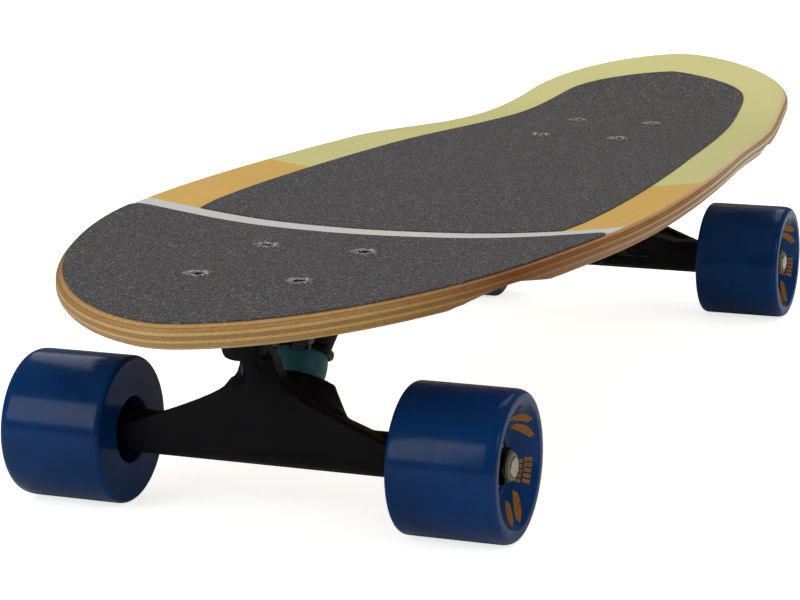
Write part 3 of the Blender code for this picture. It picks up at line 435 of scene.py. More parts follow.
def turned(name, corners, sides=64, closed=True, angle=35, steps=5):
    """A turned solid about Z. A closed section goes round a bore, an open one runs from axis to axis."""
    outline = softened(corners, closed, steps)
    vertices = []
    rings = []
    for point in outline:
        first = len(vertices)
        if point.x < TINY:
            vertices.append((0, 0, point.y))
            rings.append([first] * sides)
            continue
        vertices += [around_z(point.x, turn, point.y) for turn in turns(sides)]
        rings.append(list(range(first, first + sides)))
    faces = []
    pairs = list(zip(rings, rings[1:] + rings[:1])) if closed else list(zip(rings, rings[1:]))
    for low, high in pairs:
        for k in range(sides):
            after = (k + 1) % sides
            face = list(dict.fromkeys((low[k], low[after], high[after], high[k])))
            if len(face) > 2:
                faces.append(face)
    return mesh_from(name, vertices, faces, angle)


def joined(name, meshes, angle=35):
    """Several meshes as one."""
    shape = bmesh.new()
    for mesh in meshes:
        shape.from_mesh(mesh)
    whole = bpy.data.meshes.new(name)
    shape.to_mesh(whole)
    shape.free()
    return shade(whole, angle)


def middle(node):
    """The middle of a solid's box."""
    low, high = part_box(node)
    return (low + high) / 2


def outward(place, side):
    """The place of a piece turned about the axle, its +Z outward from the board."""
    return Matrix.Translation(place) @ Matrix.Rotation(side * PI / 2, 4, "Y")


def truck_place(end):
    """The frame of a truck: on its axle line, its Y running inboard."""
    turn = 0 if end == "front" else PI
    return Matrix.Translation(middle(f"{end}_axle")) @ Matrix.Rotation(turn, 4, "Z")


def steering_joint(end):
    """The frame's record of a truck's steering joint."""
    return next(joint for joint in frame["joints"] if joint["name"] == f"{end}_steer")


def kingpin_place(end):
    """The frame of a kingpin: on the middle of the bushing ring, its Z up along the kingpin."""
    joint = steering_joint(end)
    tilt = math.asin(joint["axis"][2])
    turn = 0 if end == "front" else PI
    spin = Matrix.Rotation(turn, 4, "Z") @ Matrix.Rotation(-tilt, 4, "X")
    return Matrix.Translation(joint["pos_m"]) @ spin


def bolt_points():
    """The tops of the eight deck bolts."""
    points = []
    for end in ENDS:
        for number in range(1, BOLTS_TO_A_TRUCK + 1):
            node = f"{end}_deck_bolt_{number}"
            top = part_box(node)[1].z
            spot = middle(node)
            points.append((end, node, Vector((spot.x, spot.y, top))))
    return points


# Materials

# Sockets that share their names with others, by their places: those of a colour mix and of a range
MIX_A = 6
MIX_B = 7
MIX_RESULT = 2
BLENDED = {"data_type": "RGBA"}
MULTIPLIED = {"data_type": "RGBA", "blend_type": "MULTIPLY"}
FROM_LOW = 1
FROM_HIGH = 2
TO_LOW = 3
TO_HIGH = 4

# Veneers and glue from the upper face down, and a tone along the board from the nose towards the tail: the
# oil's warm tone, with painted shade that darkens the rail most a quarter to half of the way from the nose
# tip, and painted light that pales it towards the tail
VENEERS = ("#F2D2AA", "#C2A070", "#F4E0B4", "#9E7E52", "#F0D8A8", "#BC9E74", "#F4E4C2")
GLUE = "#725630"
OIL_TONE_AND_PAINTED_SHADE = ((0.0, "#EBDFC4"), (0.1, "#E0CDA2"), (0.25, "#A07030"), (0.45, "#CCA870"), (0.65, "#DCC29C"),
              (0.9, "#FFFFFA"))
GLUE_WANDER = 0.09

# Patterns in cells to the metre, one figure or one each for X, Y and Z
FACE_GRAIN = (700, 22, 700)  # 1.4 mm wide, 45 mm long
RAIL_GRAIN = (900, 40, 1400)  # 1.1 mm wide, 25 mm long, 0.7 mm high
GLUE_DRIFT = (9, 9, 9)  # 110 mm
PAINT_CLOUDS = 14.0  # 70 mm
PAPER_SHREDS = 900.0  # 1.1 mm
ORANGE_PEEL = 900.0  # 1.1 mm
DUST_PATCHES = 60.0  # 17 mm
POUR_CLOUDS = 38.0  # 26 mm
SCUFFS = 420.0  # 2.4 mm, with finer ones in them
TOOL_MARKS = 500.0  # 2 mm, as finer ones would not show
STEEL_WEAR = 220.0  # 4.5 mm
INK_WEAR = 700.0  # 1.4 mm


def painted_maple(board):
    """Rolled lacquer paint on sanded maple: flat colours, faint grain telling through, a soft gloss."""
    made, tree, shader = new_material("painted_maple", linear("#D6D48C"), roughness=0.5,
                                      Specular_IOR_Level=0.25)
    place = add_node(tree, "TexCoord").outputs["Object"]
    part = add_node(tree, "SeparateXYZ", {0: place})
    across = add_node(tree, "Math", {0: part.outputs["X"]}, operation="ABSOLUTE")
    turn = add_node(tree, "MapRange", {0: across, FROM_HIGH: STRIPE_SPREAD, TO_HIGH: PI / 2})
    sine = add_node(tree, "Math", {0: turn}, operation="SINE")
    squared = add_node(tree, "Math", {0: sine, 1: sine}, operation="MULTIPLY")
    centre = add_node(tree, "Math", {0: squared, 1: STRIPE_BOW, 2: STRIPE_STATION - MID_STATION_SHIFT},
                      operation="MULTIPLY_ADD")
    off_stripe = add_node(tree, "Math", {0: centre, 1: part.outputs["Y"]}, operation="SUBTRACT")
    distance = add_node(tree, "Math", {0: off_stripe}, operation="ABSOLUTE")
    on_stripe = add_node(tree, "Math", {0: distance, 1: STRIPE_WIDTH / 2}, operation="LESS_THAN")
    border_end = BORDER_END_STATION - MID_STATION_SHIFT
    on_tail = add_node(tree, "Math", {0: part.outputs["Y"], 1: border_end}, operation="GREATER_THAN")
    tail = add_node(tree, "Mix", {0: on_tail, MIX_A: (*board.border_colour, 1),
                                  MIX_B: (*board.tail_colour, 1)}, **BLENDED).outputs[MIX_RESULT]
    stripe = add_node(tree, "Mix", {0: on_stripe, MIX_A: tail,
                                    MIX_B: (*board.stripe_colour, 1)}, **BLENDED).outputs[MIX_RESULT]
    on_nose = add_node(tree, "Math", {0: off_stripe, 1: STRIPE_WIDTH / 2}, operation="GREATER_THAN")
    coats = add_node(tree, "Mix", {0: on_nose, MIX_A: stripe,
                                   MIX_B: (*board.bare_colour, 1)}, **BLENDED).outputs[MIX_RESULT]
    # Maple grain is 0.3 to 0.6 mm wide and runs along the board: drawn at 1.4 mm so that it shows
    stretched = add_node(tree, "Mapping", {0: place, "Scale": FACE_GRAIN})
    grain = add_node(tree, "TexNoise", {"Vector": stretched, "Scale": 1.0, "Detail": 3.0})
    shadow = add_node(tree, "ValToRGB", {0: grain}, ((0.3, grey(0.975)), (0.7, grey(1.0))))
    cloud = add_node(tree, "TexNoise", {"Vector": place, "Scale": PAINT_CLOUDS, "Detail": 2.0})
    fade = add_node(tree, "ValToRGB", {0: cloud}, ((0.3, grey(0.95)), (0.7, grey(1.0))))
    grained = add_node(tree, "Mix", {0: 1.0, MIX_A: coats, MIX_B: shadow}, **MULTIPLIED).outputs[MIX_RESULT]
    clouded = add_node(tree, "Mix", {0: 1.0, MIX_A: grained, MIX_B: fade}, **MULTIPLIED).outputs[MIX_RESULT]
    gloss = add_node(tree, "ValToRGB", {0: grain}, ((0.3, grey(0.58)), (0.7, grey(0.46))))
    relief = add_node(tree, "Bump", {"Strength": 0.12, "Distance": 0.05 * MM, "Height": grain})
    connect(tree, shader, {"Base Color": clouded, "Roughness": gloss, "Normal": relief})
    return made


def pressed_maple(board):
    """Seven pressed maple veneers, some dyed, sanded at the rail and oiled: bands that follow the deck."""
    made, tree, shader = new_material("pressed_maple_plies", linear("#B88B50"), roughness=0.42,
                                      Specular_IOR_Level=0.35)
    depth = add_node(tree, "Attribute", attribute_name="ply_depth")
    place = add_node(tree, "TexCoord").outputs["Object"]
    # The glue lines wander a little between the rail's two edges, as pressed veneers do
    drift = add_node(tree, "Mapping", {0: place, "Scale": GLUE_DRIFT})
    wander = add_node(tree, "TexNoise", {"Vector": drift, "Scale": 1.0, "Detail": 2.0})
    nudge = add_node(tree, "Math", {0: wander, 1: GLUE_WANDER, 2: -GLUE_WANDER / 2},
                     operation="MULTIPLY_ADD")
    level = add_node(tree, "Math", {0: depth.outputs["Fac"], 1: nudge}, operation="ADD")
    stops = []
    for i in range(board.ply_count):
        low = i / board.ply_count
        high = (i + 1) / board.ply_count
        colour = linear(VENEERS[i % len(VENEERS)])
        stops += [(low + 0.02, colour), (high - 0.03, colour), (high, linear(GLUE))]
    plies = add_node(tree, "ValToRGB", {0: level}, stops[:-1])
    # Vessels along the veneers are 0.5 mm wide and about 20 mm long: drawn a little coarser
    stretched = add_node(tree, "Mapping", {0: place, "Scale": RAIL_GRAIN})
    grain = add_node(tree, "TexNoise", {"Vector": stretched, "Scale": 1.0, "Detail": 4.0})
    fibre = add_node(tree, "ValToRGB", {0: grain}, ((0.3, linear("#EAE0CF")), (0.65, grey(1.0))))
    # Round the nose the oil evens the veneers out. Along the board a tone is multiplied in: the oil is warmer
    # towards the nose than at the tail, painted shade darkens the rail a quarter to half of the way from the
    # nose tip, and painted light pales it towards the tail
    part = add_node(tree, "SeparateXYZ", {0: place})
    run = add_node(tree, "MapRange", {0: part.outputs["Y"], FROM_LOW: DECK_LOW.y, FROM_HIGH: 100 * MM})
    evening = add_node(tree, "MapRange", {0: run, FROM_LOW: 0.3, FROM_HIGH: 0.65, TO_LOW: 0.5, TO_HIGH: 0.1})
    soaked = add_node(tree, "Mix", {0: evening, MIX_A: plies,
                                    MIX_B: (*linear("#C6A474"), 1)}, **BLENDED).outputs[MIX_RESULT]
    fibred = add_node(tree, "Mix", {0: 1.0, MIX_A: soaked, MIX_B: fibre}, **MULTIPLIED).outputs[MIX_RESULT]
    # Painted shade and painted light along the rail, mixed with the oil's warm tone
    tone_and_painted_shade = add_node(tree, "ValToRGB", {0: run}, [(share, linear(code)) for share, code in OIL_TONE_AND_PAINTED_SHADE])
    oiled = add_node(tree, "Mix", {0: 1.0, MIX_A: fibred, MIX_B: tone_and_painted_shade}, **MULTIPLIED).outputs[MIX_RESULT]
    relief = add_node(tree, "Bump", {"Strength": 0.25, "Distance": 0.1 * MM, "Height": grain})
    connect(tree, shader, {"Base Color": oiled, "Normal": relief})
    return made


def grit_paper(board):
    """Silicon carbide grit paper: dark and rough, its grains of differing tone, some glossier, and a few
    painted brighter as a painted glint.
    """
    made, tree, shader = new_material("silicon_carbide_grit", board.grit_colour, roughness=0.9,
                                      Specular_IOR_Level=0.15)
    place = add_node(tree, "TexCoord").outputs["Object"]
    # Real grains are 0.2 mm and would not show: drawn as clusters of the size in the settings
    density = 1 / board.grain_size
    cells = add_node(tree, "TexVoronoi", {"Vector": place, "Scale": density})
    chance = add_node(tree, "SeparateColor", {0: cells.outputs["Color"]})
    # Grains vary in tone, and the few at the top of the range are painted up to three times brighter as a
    # painted glint
    grain_tone_and_painted_glint = add_node(tree, "ValToRGB", {0: chance.outputs["Red"]}, (
        (0.0, grey(0.6)), (0.5, grey(0.95)), (0.9, grey(1.2)), (0.97, grey(3.2))))
    fine = add_node(tree, "TexNoise", {"Vector": place, "Scale": density * 0.8, "Detail": 4.0})
    mottle = add_node(tree, "ValToRGB", {0: fine}, ((0.3, grey(0.7)), (0.7, grey(1.3))))
    ground = add_node(tree, "Mix", {0: 1.0, MIX_A: (*board.grit_colour, 1),
                                    MIX_B: grain_tone_and_painted_glint}, **MULTIPLIED).outputs[MIX_RESULT]
    mottled = add_node(tree, "Mix", {0: 1.0, MIX_A: ground, MIX_B: mottle}, **MULTIPLIED).outputs[MIX_RESULT]
    glint = add_node(tree, "ValToRGB", {0: chance.outputs["Green"]}, ((0.7, grey(0.95)), (0.97, grey(0.5))))
    relief = add_node(tree, "Bump", {"Strength": 0.5, "Distance": 0.2 * MM,
                                     "Height": cells.outputs["Distance"]})
    connect(tree, shader, {"Base Color": mottled, "Roughness": glint, "Normal": relief})
    return made


def torn_paper():
    """The grit sheet's paper backing where the bolt heads tore it: pale, frayed, dry."""
    made, tree, shader = new_material("torn_grit_backing", linear("#8E8A84"), roughness=0.9,
                                      Specular_IOR_Level=0.2)
    place = add_node(tree, "TexCoord").outputs["Object"]
    shreds = add_node(tree, "TexNoise", {"Vector": place, "Scale": PAPER_SHREDS, "Detail": 4.0})
    # Paler where it was lifted by the bolt's head, and grit again further out
    reach = add_node(tree, "VectorMath", {0: place}, operation="LENGTH")
    worn = add_node(tree, "MapRange", {0: reach.outputs["Value"], FROM_LOW: 3 * MM, FROM_HIGH: TORN_OUTER,
                                       TO_LOW: 0.12, TO_HIGH: -0.14})
    level = add_node(tree, "Math", {0: shreds, 1: worn}, operation="ADD")
    frayed = add_node(tree, "ValToRGB", {0: level}, (
        (0.42, linear("#454341")), (0.56, linear("#7E7A75")), (0.72, linear("#B4AFA8"))))
    connect(tree, shader, {"Base Color": frayed})
    return made


def powder_coat(truck):
    """Powder coat on sand-cast aluminium: near black, satin, with a fine orange peel and dusty dulling."""
    made, tree, shader = new_material("black_powder_coat", truck.coat_colour, roughness=0.4,
                                      Specular_IOR_Level=0.08)
    place = add_node(tree, "TexCoord").outputs["Object"]
    peel = add_node(tree, "TexNoise", {"Vector": place, "Scale": ORANGE_PEEL, "Detail": 2.0})
    dust = add_node(tree, "TexNoise", {"Vector": place, "Scale": DUST_PATCHES, "Detail": 5.0})
    dulling = add_node(tree, "ValToRGB", {0: dust}, ((0.35, grey(0.36)), (0.7, grey(0.56))))
    warm = tuple(min(1.0, c * 1.5 + 0.002) for c in truck.coat_colour)
    tone = add_node(tree, "ValToRGB", {0: dust}, ((0.35, tuple(truck.coat_colour)), (0.75, warm)))
    relief = add_node(tree, "Bump", {"Strength": 0.2, "Distance": 0.08 * MM, "Height": peel})
    connect(tree, shader, {"Base Color": tone, "Roughness": dulling, "Normal": relief})
    return made


def cast_urethane(name, colour, roughness, cloudiness, translucence):
    """Cast polyurethane: glossy or waxy, a little see-through, with faint clouds from the pour."""
    made, tree, shader = new_material(name, colour, roughness, IOR=1.5, Specular_IOR_Level=0.15,
                                      Subsurface_Weight=translucence, Subsurface_Scale=4 * MM,
                                      Subsurface_Radius=(0.3, 0.6, 1.0))
    place = add_node(tree, "TexCoord").outputs["Object"]
    pour = add_node(tree, "TexNoise", {"Vector": place, "Scale": POUR_CLOUDS, "Detail": 3.0,
                                       "Distortion": 0.6})
    dark = tuple(c * (1 - cloudiness) for c in colour)
    light = tuple(min(1.0, c * (1 + cloudiness)) for c in colour)
    tone = add_node(tree, "ValToRGB", {0: pour}, ((0.3, dark), (0.7, light)))
    scuff = add_node(tree, "TexNoise", {"Vector": place, "Scale": SCUFFS, "Detail": 4.0})
    haze = add_node(tree, "ValToRGB", {0: scuff}, ((0.45, grey(roughness)), (0.8, grey(roughness + 0.16))))
    connect(tree, shader, {"Base Color": tone, "Roughness": haze})
    return made


def machined_steel(name, code, roughness):
    """Turned or ground steel: fine rings of tool marks that stretch its highlights."""
    made, tree, shader = new_material(name, linear(code), roughness, Metallic=1.0)
    place = add_node(tree, "TexCoord").outputs["Object"]
    rings = add_node(tree, "TexWave", {"Vector": place, "Scale": TOOL_MARKS, "Distortion": 2.0,
                                       "Detail": 2.0}, bands_direction="Z")
    worn = add_node(tree, "TexNoise", {"Vector": place, "Scale": STEEL_WEAR, "Detail": 3.0})
    haze = add_node(tree, "ValToRGB", {0: worn}, (
        (0.3, grey(max(0.05, roughness - 0.08))), (0.75, grey(roughness + 0.14))))
    relief = add_node(tree, "Bump", {"Strength": 0.15, "Distance": 0.04 * MM, "Height": rings})
    connect(tree, shader, {"Roughness": haze, "Normal": relief})
    return made


def moulded(name, code, roughness, grain):
    """Moulded rubber or plastic: matt, with a fine texture from its mould."""
    made, tree, shader = new_material(name, linear(code), roughness)
    place = add_node(tree, "TexCoord").outputs["Object"]
    skin = add_node(tree, "TexNoise", {"Vector": place, "Scale": 1 / grain, "Detail": 3.0})
    tone = tuple(c * 1.6 + 0.003 for c in linear(code))
    shades = add_node(tree, "ValToRGB", {0: skin}, ((0.3, linear(code)), (0.8, tone)))
    relief = add_node(tree, "Bump", {"Strength": 0.3, "Distance": 0.1 * MM, "Height": skin})
    connect(tree, shader, {"Base Color": shades, "Normal": relief})
    return made


def printed_ink(wheel):
    """Pad-printed ink on urethane: opaque, worn thin in places, a little duller than what it lies on."""
    made, tree, shader = new_material("pad_printed_ink", wheel.ink_colour, roughness=0.4,
                                      Specular_IOR_Level=0.2)
    place = add_node(tree, "TexCoord").outputs["Object"]
    wear = add_node(tree, "TexNoise", {"Vector": place, "Scale": INK_WEAR, "Detail": 4.0})
    thin = tuple(c * 0.35 for c in wheel.ink_colour)
    tone = add_node(tree, "ValToRGB", {0: wear}, ((0.3, thin), (0.45, tuple(wheel.ink_colour))))
    connect(tree, shader, {"Base Color": tone})
    return made


# The deck's shape


def bezier(p0, p1, p2, p3, steps):
    """Points along a cubic Bezier curve, its last point left out."""
    points = []
    for i in range(steps):
        t = i / steps
        weights = ((1 - t) ** 3, 3 * t * (1 - t) ** 2, 3 * t * t * (1 - t), t ** 3)
        points.append(sum((Vector(p) * w for p, w in zip((p0, p1, p2, p3), weights)), Vector((0, 0))))
    return points


def deck_half_outline(nose_steps, flank_steps, tail_steps):
    """The deck's edge at +X from nose tip to tail tip, as (half width, station)."""
    shoulder_in = SHOULDER_HALF_WIDTH + SHOULDER_TAPER * SHOULDER_SWEEP_TO_BELLY
    shoulder_out = SHOULDER_HALF_WIDTH - SHOULDER_TAPER * SHOULDER_SWEEP_TO_TAIL
    belly = (BELLY_HALF_WIDTH, BELLY_STATION)
    shoulder = (SHOULDER_HALF_WIDTH, SHOULDER_STATION)
    before_belly = (BELLY_HALF_WIDTH, BELLY_STATION - BELLY_SWEEP_TO_NOSE)
    after_belly = (BELLY_HALF_WIDTH, BELLY_STATION + BELLY_SWEEP_TO_TAIL)
    before_shoulder = (shoulder_in, SHOULDER_STATION - SHOULDER_SWEEP_TO_BELLY)
    after_shoulder = (shoulder_out, SHOULDER_STATION + SHOULDER_SWEEP_TO_TAIL)
    nose_tip = (0, -NOSE_REACH)
    tail_tip = (0, TAIL_REACH)
    points = bezier(nose_tip, (NOSE_BLUNTNESS, -NOSE_REACH), before_belly, belly, nose_steps)
    points += bezier(belly, after_belly, before_shoulder, shoulder, flank_steps)
    points += bezier(shoulder, after_shoulder, (TAIL_BLUNTNESS, TAIL_REACH), tail_tip, tail_steps)
    return points + [Vector(tail_tip)]


def inset_half(points, distance):
    """The half outline moved inward by a distance, its ends kept on the middle line."""
    moved = []
    for i, point in enumerate(points):
        along = (points[min(i + 1, len(points) - 1)] - points[max(i - 1, 0)]).normalized()
        if i == 0:
            along = Vector((1, 0))
        if i == len(points) - 1:
            along = Vector((-1, 0))
        reach = distance(point) if callable(distance) else distance
        moved.append(point + Vector((-along.y, along.x)) * reach)
    return moved


def mirrored(points):
    """A closed outline from its half at +X."""
    return points + [Vector((-p.x, p.y)) for p in reversed(points) if abs(p.x) > TINY]


DECK_EDGE = deck_half_outline(*EDGE_STEPS)


def half_width(station):
    """Half the deck's width at a station."""
    for before, after in zip(DECK_EDGE, DECK_EDGE[1:]):
        if before.y <= station <= after.y:
            return lerp(before.x, after.x, (station - before.y) / max(after.y - before.y, TINY))
    return 0.0


def deck_top(x, station):
    """Height of the deck's upper face: flat in the middle, raised rails, dropped nose, kicked tail."""
    ramp = smoothstep((station + NOSE_REACH) / CONCAVE_RAMP_FROM_NOSE)
    fade = smoothstep((station - CONCAVE_FADE_START) / (CONCAVE_FADE_END - CONCAVE_FADE_START))
    width = max(half_width(station), 1 * MM)
    out = max(0.0, (min(abs(x) / width, 1.0) - FLAT_SHARE) / (1 - FLAT_SHARE))
    drop = max(0.0, NOSE_DROP_STATION - station) ** 2 / (2 * NOSE_DROP_RADIUS)
    along_kick = max(0.0, station - KICK_STATION)
    kick = KICK_RADIUS - math.sqrt(KICK_RADIUS ** 2 - along_kick ** 2)
    return DECK_TOP + CONCAVE_RISE * ramp * (1 - fade) * out * out - drop + kick


def axle_station(end):
    """The station of an axle."""
    return middle(f"{end}_axle").y + MID_STATION_SHIFT


def well_height(x, station):
    """How high the wheel wells are ground at a place, or nothing where there is no well."""
    highest = -1.0
    for end, inboard in (("front", FRONT_WELL_INBOARD), ("rear", -REAR_WELL_INBOARD)):
        centre = axle_station(end) + inboard
        off = station - centre
        if abs(off) > WELL_REACH:
            continue
        outer_x = half_width(centre)
        inner_x = outer_x - WELL_FADE_WIDTH
        inner_z = deck_top(inner_x, centre) - DECK_THICKNESS
        outer_z = deck_top(outer_x, centre) - DECK_THICKNESS + WELL_DEPTH
        lean = (outer_z - inner_z) / WELL_FADE_WIDTH
        crown = inner_z + (abs(x) - inner_x) * lean
        dip = WELL_RADIUS - math.sqrt(WELL_RADIUS ** 2 - off ** 2)
        highest = max(highest, crown - dip * math.sqrt(1 + lean * lean))
    return highest


def sheet_grid(edge, columns):
    """Rows of (x, station) points across a half outline, from its first tip to its last."""
    shares = [i / columns * 2 - 1 for i in range(columns + 1)]
    rows = [[(p.x * share, p.y) for share in shares] for p in edge]
    if edge[0].x < TINY:
        rows[0] = [tuple(edge[0])]
    if edge[-1].x < TINY:
        rows[-1] = [tuple(edge[-1])]
    return rows


def sheet_mesh(name, rows, rings, upper, lower, attribute=None):
    """A sheet over rows of (x, station) points.

    Its faces are marked 0 above, 1 round the rail and 2 below. A ring is an outline and its depth.
    """
    shape = bmesh.new()
    layer = shape.verts.layers.float.new(attribute) if attribute else None

    def corner(x, station, height):
        height = min(height, CAD_BOX[1][2])
        vertex = shape.verts.new((x, station - MID_STATION_SHIFT, height))
        if layer:
            vertex[layer] = (upper(x, station) - height) / DECK_THICKNESS
        return vertex

    def around(grid):
        first = grid[0] if len(grid[0]) > 1 else [grid[0][0]]
        last = grid[-1] if len(grid[-1]) > 1 else [grid[-1][0]]
        right = [row[-1] for row in grid[1:-1]]
        left = [row[0] for row in reversed(grid[1:-1])]
        return first + right + last[::-1] + left

    def span(grid, mark):
        for row, on in zip(grid, grid[1:]):
            for j in range(max(len(row), len(on)) - 1):
                corners = [row[min(j, len(row) - 1)], row[min(j + 1, len(row) - 1)]]
                corners += [on[min(j + 1, len(on) - 1)], on[min(j, len(on) - 1)]]
                shape.faces.new(list(dict.fromkeys(corners))).material_index = mark

    top = [[corner(x, y, upper(x, y)) for x, y in row] for row in rows]
    low = [[corner(x, y, lower(x, y)) for x, y in row] for row in rows]
    span(top, 0)
    span(low, 2)
    loops = [(around(top), 0)]
    for outline, depth, mark in rings:
        loops.append(([corner(p.x, p.y, max(upper(p.x, p.y) - depth, well_height(p.x, p.y)))
                       for p in outline], mark))
    loops.append((around(low), 1))
    for (loop, _), (on, mark) in zip(loops, loops[1:]):
        for i in range(len(loop)):
            after = (i + 1) % len(loop)
            shape.faces.new((loop[i], loop[after], on[after], on[i])).material_index = mark
    bmesh.ops.recalc_face_normals(shape, faces=shape.faces)
    mesh = bpy.data.meshes.new(name)
    shape.to_mesh(mesh)
    shape.free()
    return shade(mesh, SHEET_CREASE)


def deck_mesh(rail_radius):
    """The whole board, its rails rounded and its wells ground."""
    edge = deck_half_outline(*DECK_STEPS)
    down = []
    up = []
    for step in range(1, RAIL_STEPS + 1):
        turn = PI / 2 * step / RAIL_STEPS
        outline = mirrored(inset_half(edge, rail_radius * (1 - math.sin(turn))))
        depth = rail_radius * (1 - math.cos(turn))
        down.append((outline, depth, 0 if turn < PAINTED_RAIL_TURN else 1))
        up.append((outline, DECK_THICKNESS - depth, 1))
    rings = down + up[::-1]

    def lower(x, station):
        return max(deck_top(x, station) - DECK_THICKNESS, well_height(x, station))

    rows = sheet_grid(inset_half(edge, rail_radius), SHEET_COLUMNS)
    return sheet_mesh("deck_board", rows, rings, deck_top, lower, "ply_depth")


def grip_mesh(name, rows):
    """A grit sheet that lies just above the deck."""
    def lower(x, station):
        return deck_top(x, station) + GRIP_LIFT

    def upper(x, station):
        return lower(x, station) + GRIP_THICKNESS

    return sheet_mesh(name, rows, [], upper, lower)


def stripe_bow(x):
    """How far the stripe lies behind its middle, at x."""
    return STRIPE_BOW * math.sin(PI / 2 * min(1.0, abs(x) / STRIPE_SPREAD)) ** 2


def bowed_rows(points, bow_share):
    """Rows from side to side through the edge points, each taking its share of the stripe's bow."""
    rows = []
    for point, share in zip(points, bow_share):
        places = [point.x * (i / SHEET_COLUMNS * 2 - 1) for i in range(SHEET_COLUMNS + 1)]
        bow = stripe_bow(point.x)
        rows.append([(x, point.y + (stripe_bow(x) - bow) * share) for x in places])
    return rows


def nose_grip_rows():
    """The sheet from the nose to the stripe, its two rear corners rounded."""
    rear = STRIPE_STATION - STRIPE_WIDTH / 2
    edge = inset_half(deck_half_outline(*NOSE_GRIP_STEPS), NOSE_GRIP_MARGIN)
    corner = Vector((BELLY_HALF_WIDTH, rear))
    # Where the sheet's rear edge meets its side, found step by step
    for _ in range(CORNER_STEPS):
        corner.x = half_width(corner.y) - NOSE_GRIP_MARGIN
        corner.y = rear + stripe_bow(corner.x)
    start = Vector((half_width(corner.y - NOSE_GRIP_CORNER) - NOSE_GRIP_MARGIN, corner.y - NOSE_GRIP_CORNER))
    end = Vector((corner.x - NOSE_GRIP_CORNER, 0))
    end.y = rear + stripe_bow(end.x)
    side = [p for p in edge if p.y < start.y - 1 * MM]
    points = side[1:] + rounded_corner(start, corner, end, CORNER_STEPS)
    run = end.y + NOSE_REACH
    shares = [smoothstep((p.y + NOSE_REACH) / run) for p in points]
    shares[-1] = 1.0
    return [[tuple(side[0])]] + bowed_rows(points, shares)


def main_grip_margin(point):
    """How far the main sheet lies inside the deck's edge."""
    along_sides = smoothstep((point.y - STRIPE_STATION) / (KICK_STATION - STRIPE_STATION))
    to_tail = smoothstep((point.y - SHOULDER_STATION) / (TAIL_REACH - SHOULDER_STATION))
    margin = lerp(MAIN_GRIP_MARGIN, MAIN_GRIP_MARGIN_WAIST, along_sides)
    return lerp(margin, MAIN_GRIP_MARGIN_TAIL, to_tail)


def main_grip_rows():
    """The sheet from the stripe to the tail, inset from the deck's sides."""
    front = STRIPE_STATION + STRIPE_WIDTH / 2
    edge = inset_half(deck_half_outline(*MAIN_GRIP_STEPS), main_grip_margin)
    for _ in range(TAIL_CORNER_EASING):
        eased = [a.lerp(c, 0.5).lerp(b, 0.5) for a, b, c in zip(edge, edge[1:], edge[2:])]
        middles = [e if e.y > KICK_STATION else b for e, b in zip(eased, edge[1:])]
        edge = [edge[0]] + middles + [edge[-1]]
    corner_x = half_width(front) - MAIN_GRIP_MARGIN
    corner = Vector((corner_x, front + stripe_bow(corner_x)))
    points = [corner] + [p for p in edge[:-1] if p.y > corner.y + 2 * MM]
    run = KICK_STATION - corner.y
    shares = [1 - smoothstep((p.y - corner.y) / run) for p in points]
    return bowed_rows(points, shares) + [[tuple(edge[-1])]]


def waves_round(around, waves):
    """Noise at a place on a circle, added up from waves of (share, fineness)."""
    return sum(share * noise.noise(around * fineness) for share, fineness in waves)


def ragged_disc(name, radius, low, high, seed, sides=40):
    """An upright plug with a torn outline."""
    vertices = []
    for height in (low, high):
        for turn in turns(sides):
            around = Vector(around_z(1, turn, seed * HOLE_SEED_STEP))
            reach = radius * (1 + HOLE_ROUGHNESS * waves_round(around, HOLE_TEAR))
            vertices.append(around_z(reach, turn, height))
    return mesh_from(name, vertices, capped(2, sides))


def torn_ring(name, inner, outer, seed, sides=48):
    """A frayed ring of lifted paper round a bolt hole."""
    vertices = []
    for share, height in TORN_SECTION:
        for turn in turns(sides):
            around = Vector(around_z(1, turn, seed * RING_SEED_STEP))
            inmost = inner * (1 + waves_round(around, RING_FRAY))
            outmost = outer * (1 + waves_round(around, RING_EDGE))
            reach = lerp(inmost, outmost, share)
            curl = noise.noise(around * RING_CURL_FINENESS + Vector((share, 0, 4)))
            lift = height * (1 + RING_CURL * curl) * MM
            vertices.append(around_z(reach, turn, lift))
    return mesh_from(name, vertices, ring_faces(len(TORN_SECTION), sides), angle=60)


def deck_spot(point, lift=0.0):
    """The deck's top under a point of the board, standing square to it."""
    station = point.y + MID_STATION_SHIFT
    step = 1 * MM
    slope_x = (deck_top(point.x + step, station) - deck_top(point.x - step, station)) / (2 * step)
    slope_y = (deck_top(point.x, station + step) - deck_top(point.x, station - step)) / (2 * step)
    up = Vector((-slope_x, -slope_y, 1)).normalized()
    spot = Vector((point.x, point.y, deck_top(point.x, station))) + up * lift
    return Matrix.Translation(spot) @ up.to_track_quat("Z", "Y").to_matrix().to_4x4()


# Small hardware, in millimetres

# A nut's outline from its lower face to its upper: shares of half the flats and of the height
NUT_CHAMFERS = ((0.93, 0), (1.0, 0.06), (1.07, 0.12), (1.155, 0.22), (1.155, 0.78), (1.07, 0.88), (1.0, 0.94),
                (0.93, 1))
# The domed collar above it: shares of half the flats and of the collar's height
NUT_COLLAR = ((0.86, 0), (0.85, 0.7), (0.79, 1))
# The share of a lock nut's height that its collar has
COLLAR_OF_BOLT_NUT = 0.28
COLLAR_OF_AXLE_NUT = 0.26
# The depth of a screw thread as a share of its pitch
THREAD_DEPTH = 0.6

BOLT_HEAD_RADIUS = 4.6
BOLT_HEAD_DEPTH = 2.8
BOLT_RADIUS = 2.4
BOLT_THREAD_LENGTH = 9
BOLT_PITCH = 0.9
BOLT_POINT = 1
BOLT_RECESS_SIZE = 2.5
BOLT_RECESS_DEPTH = 1.7
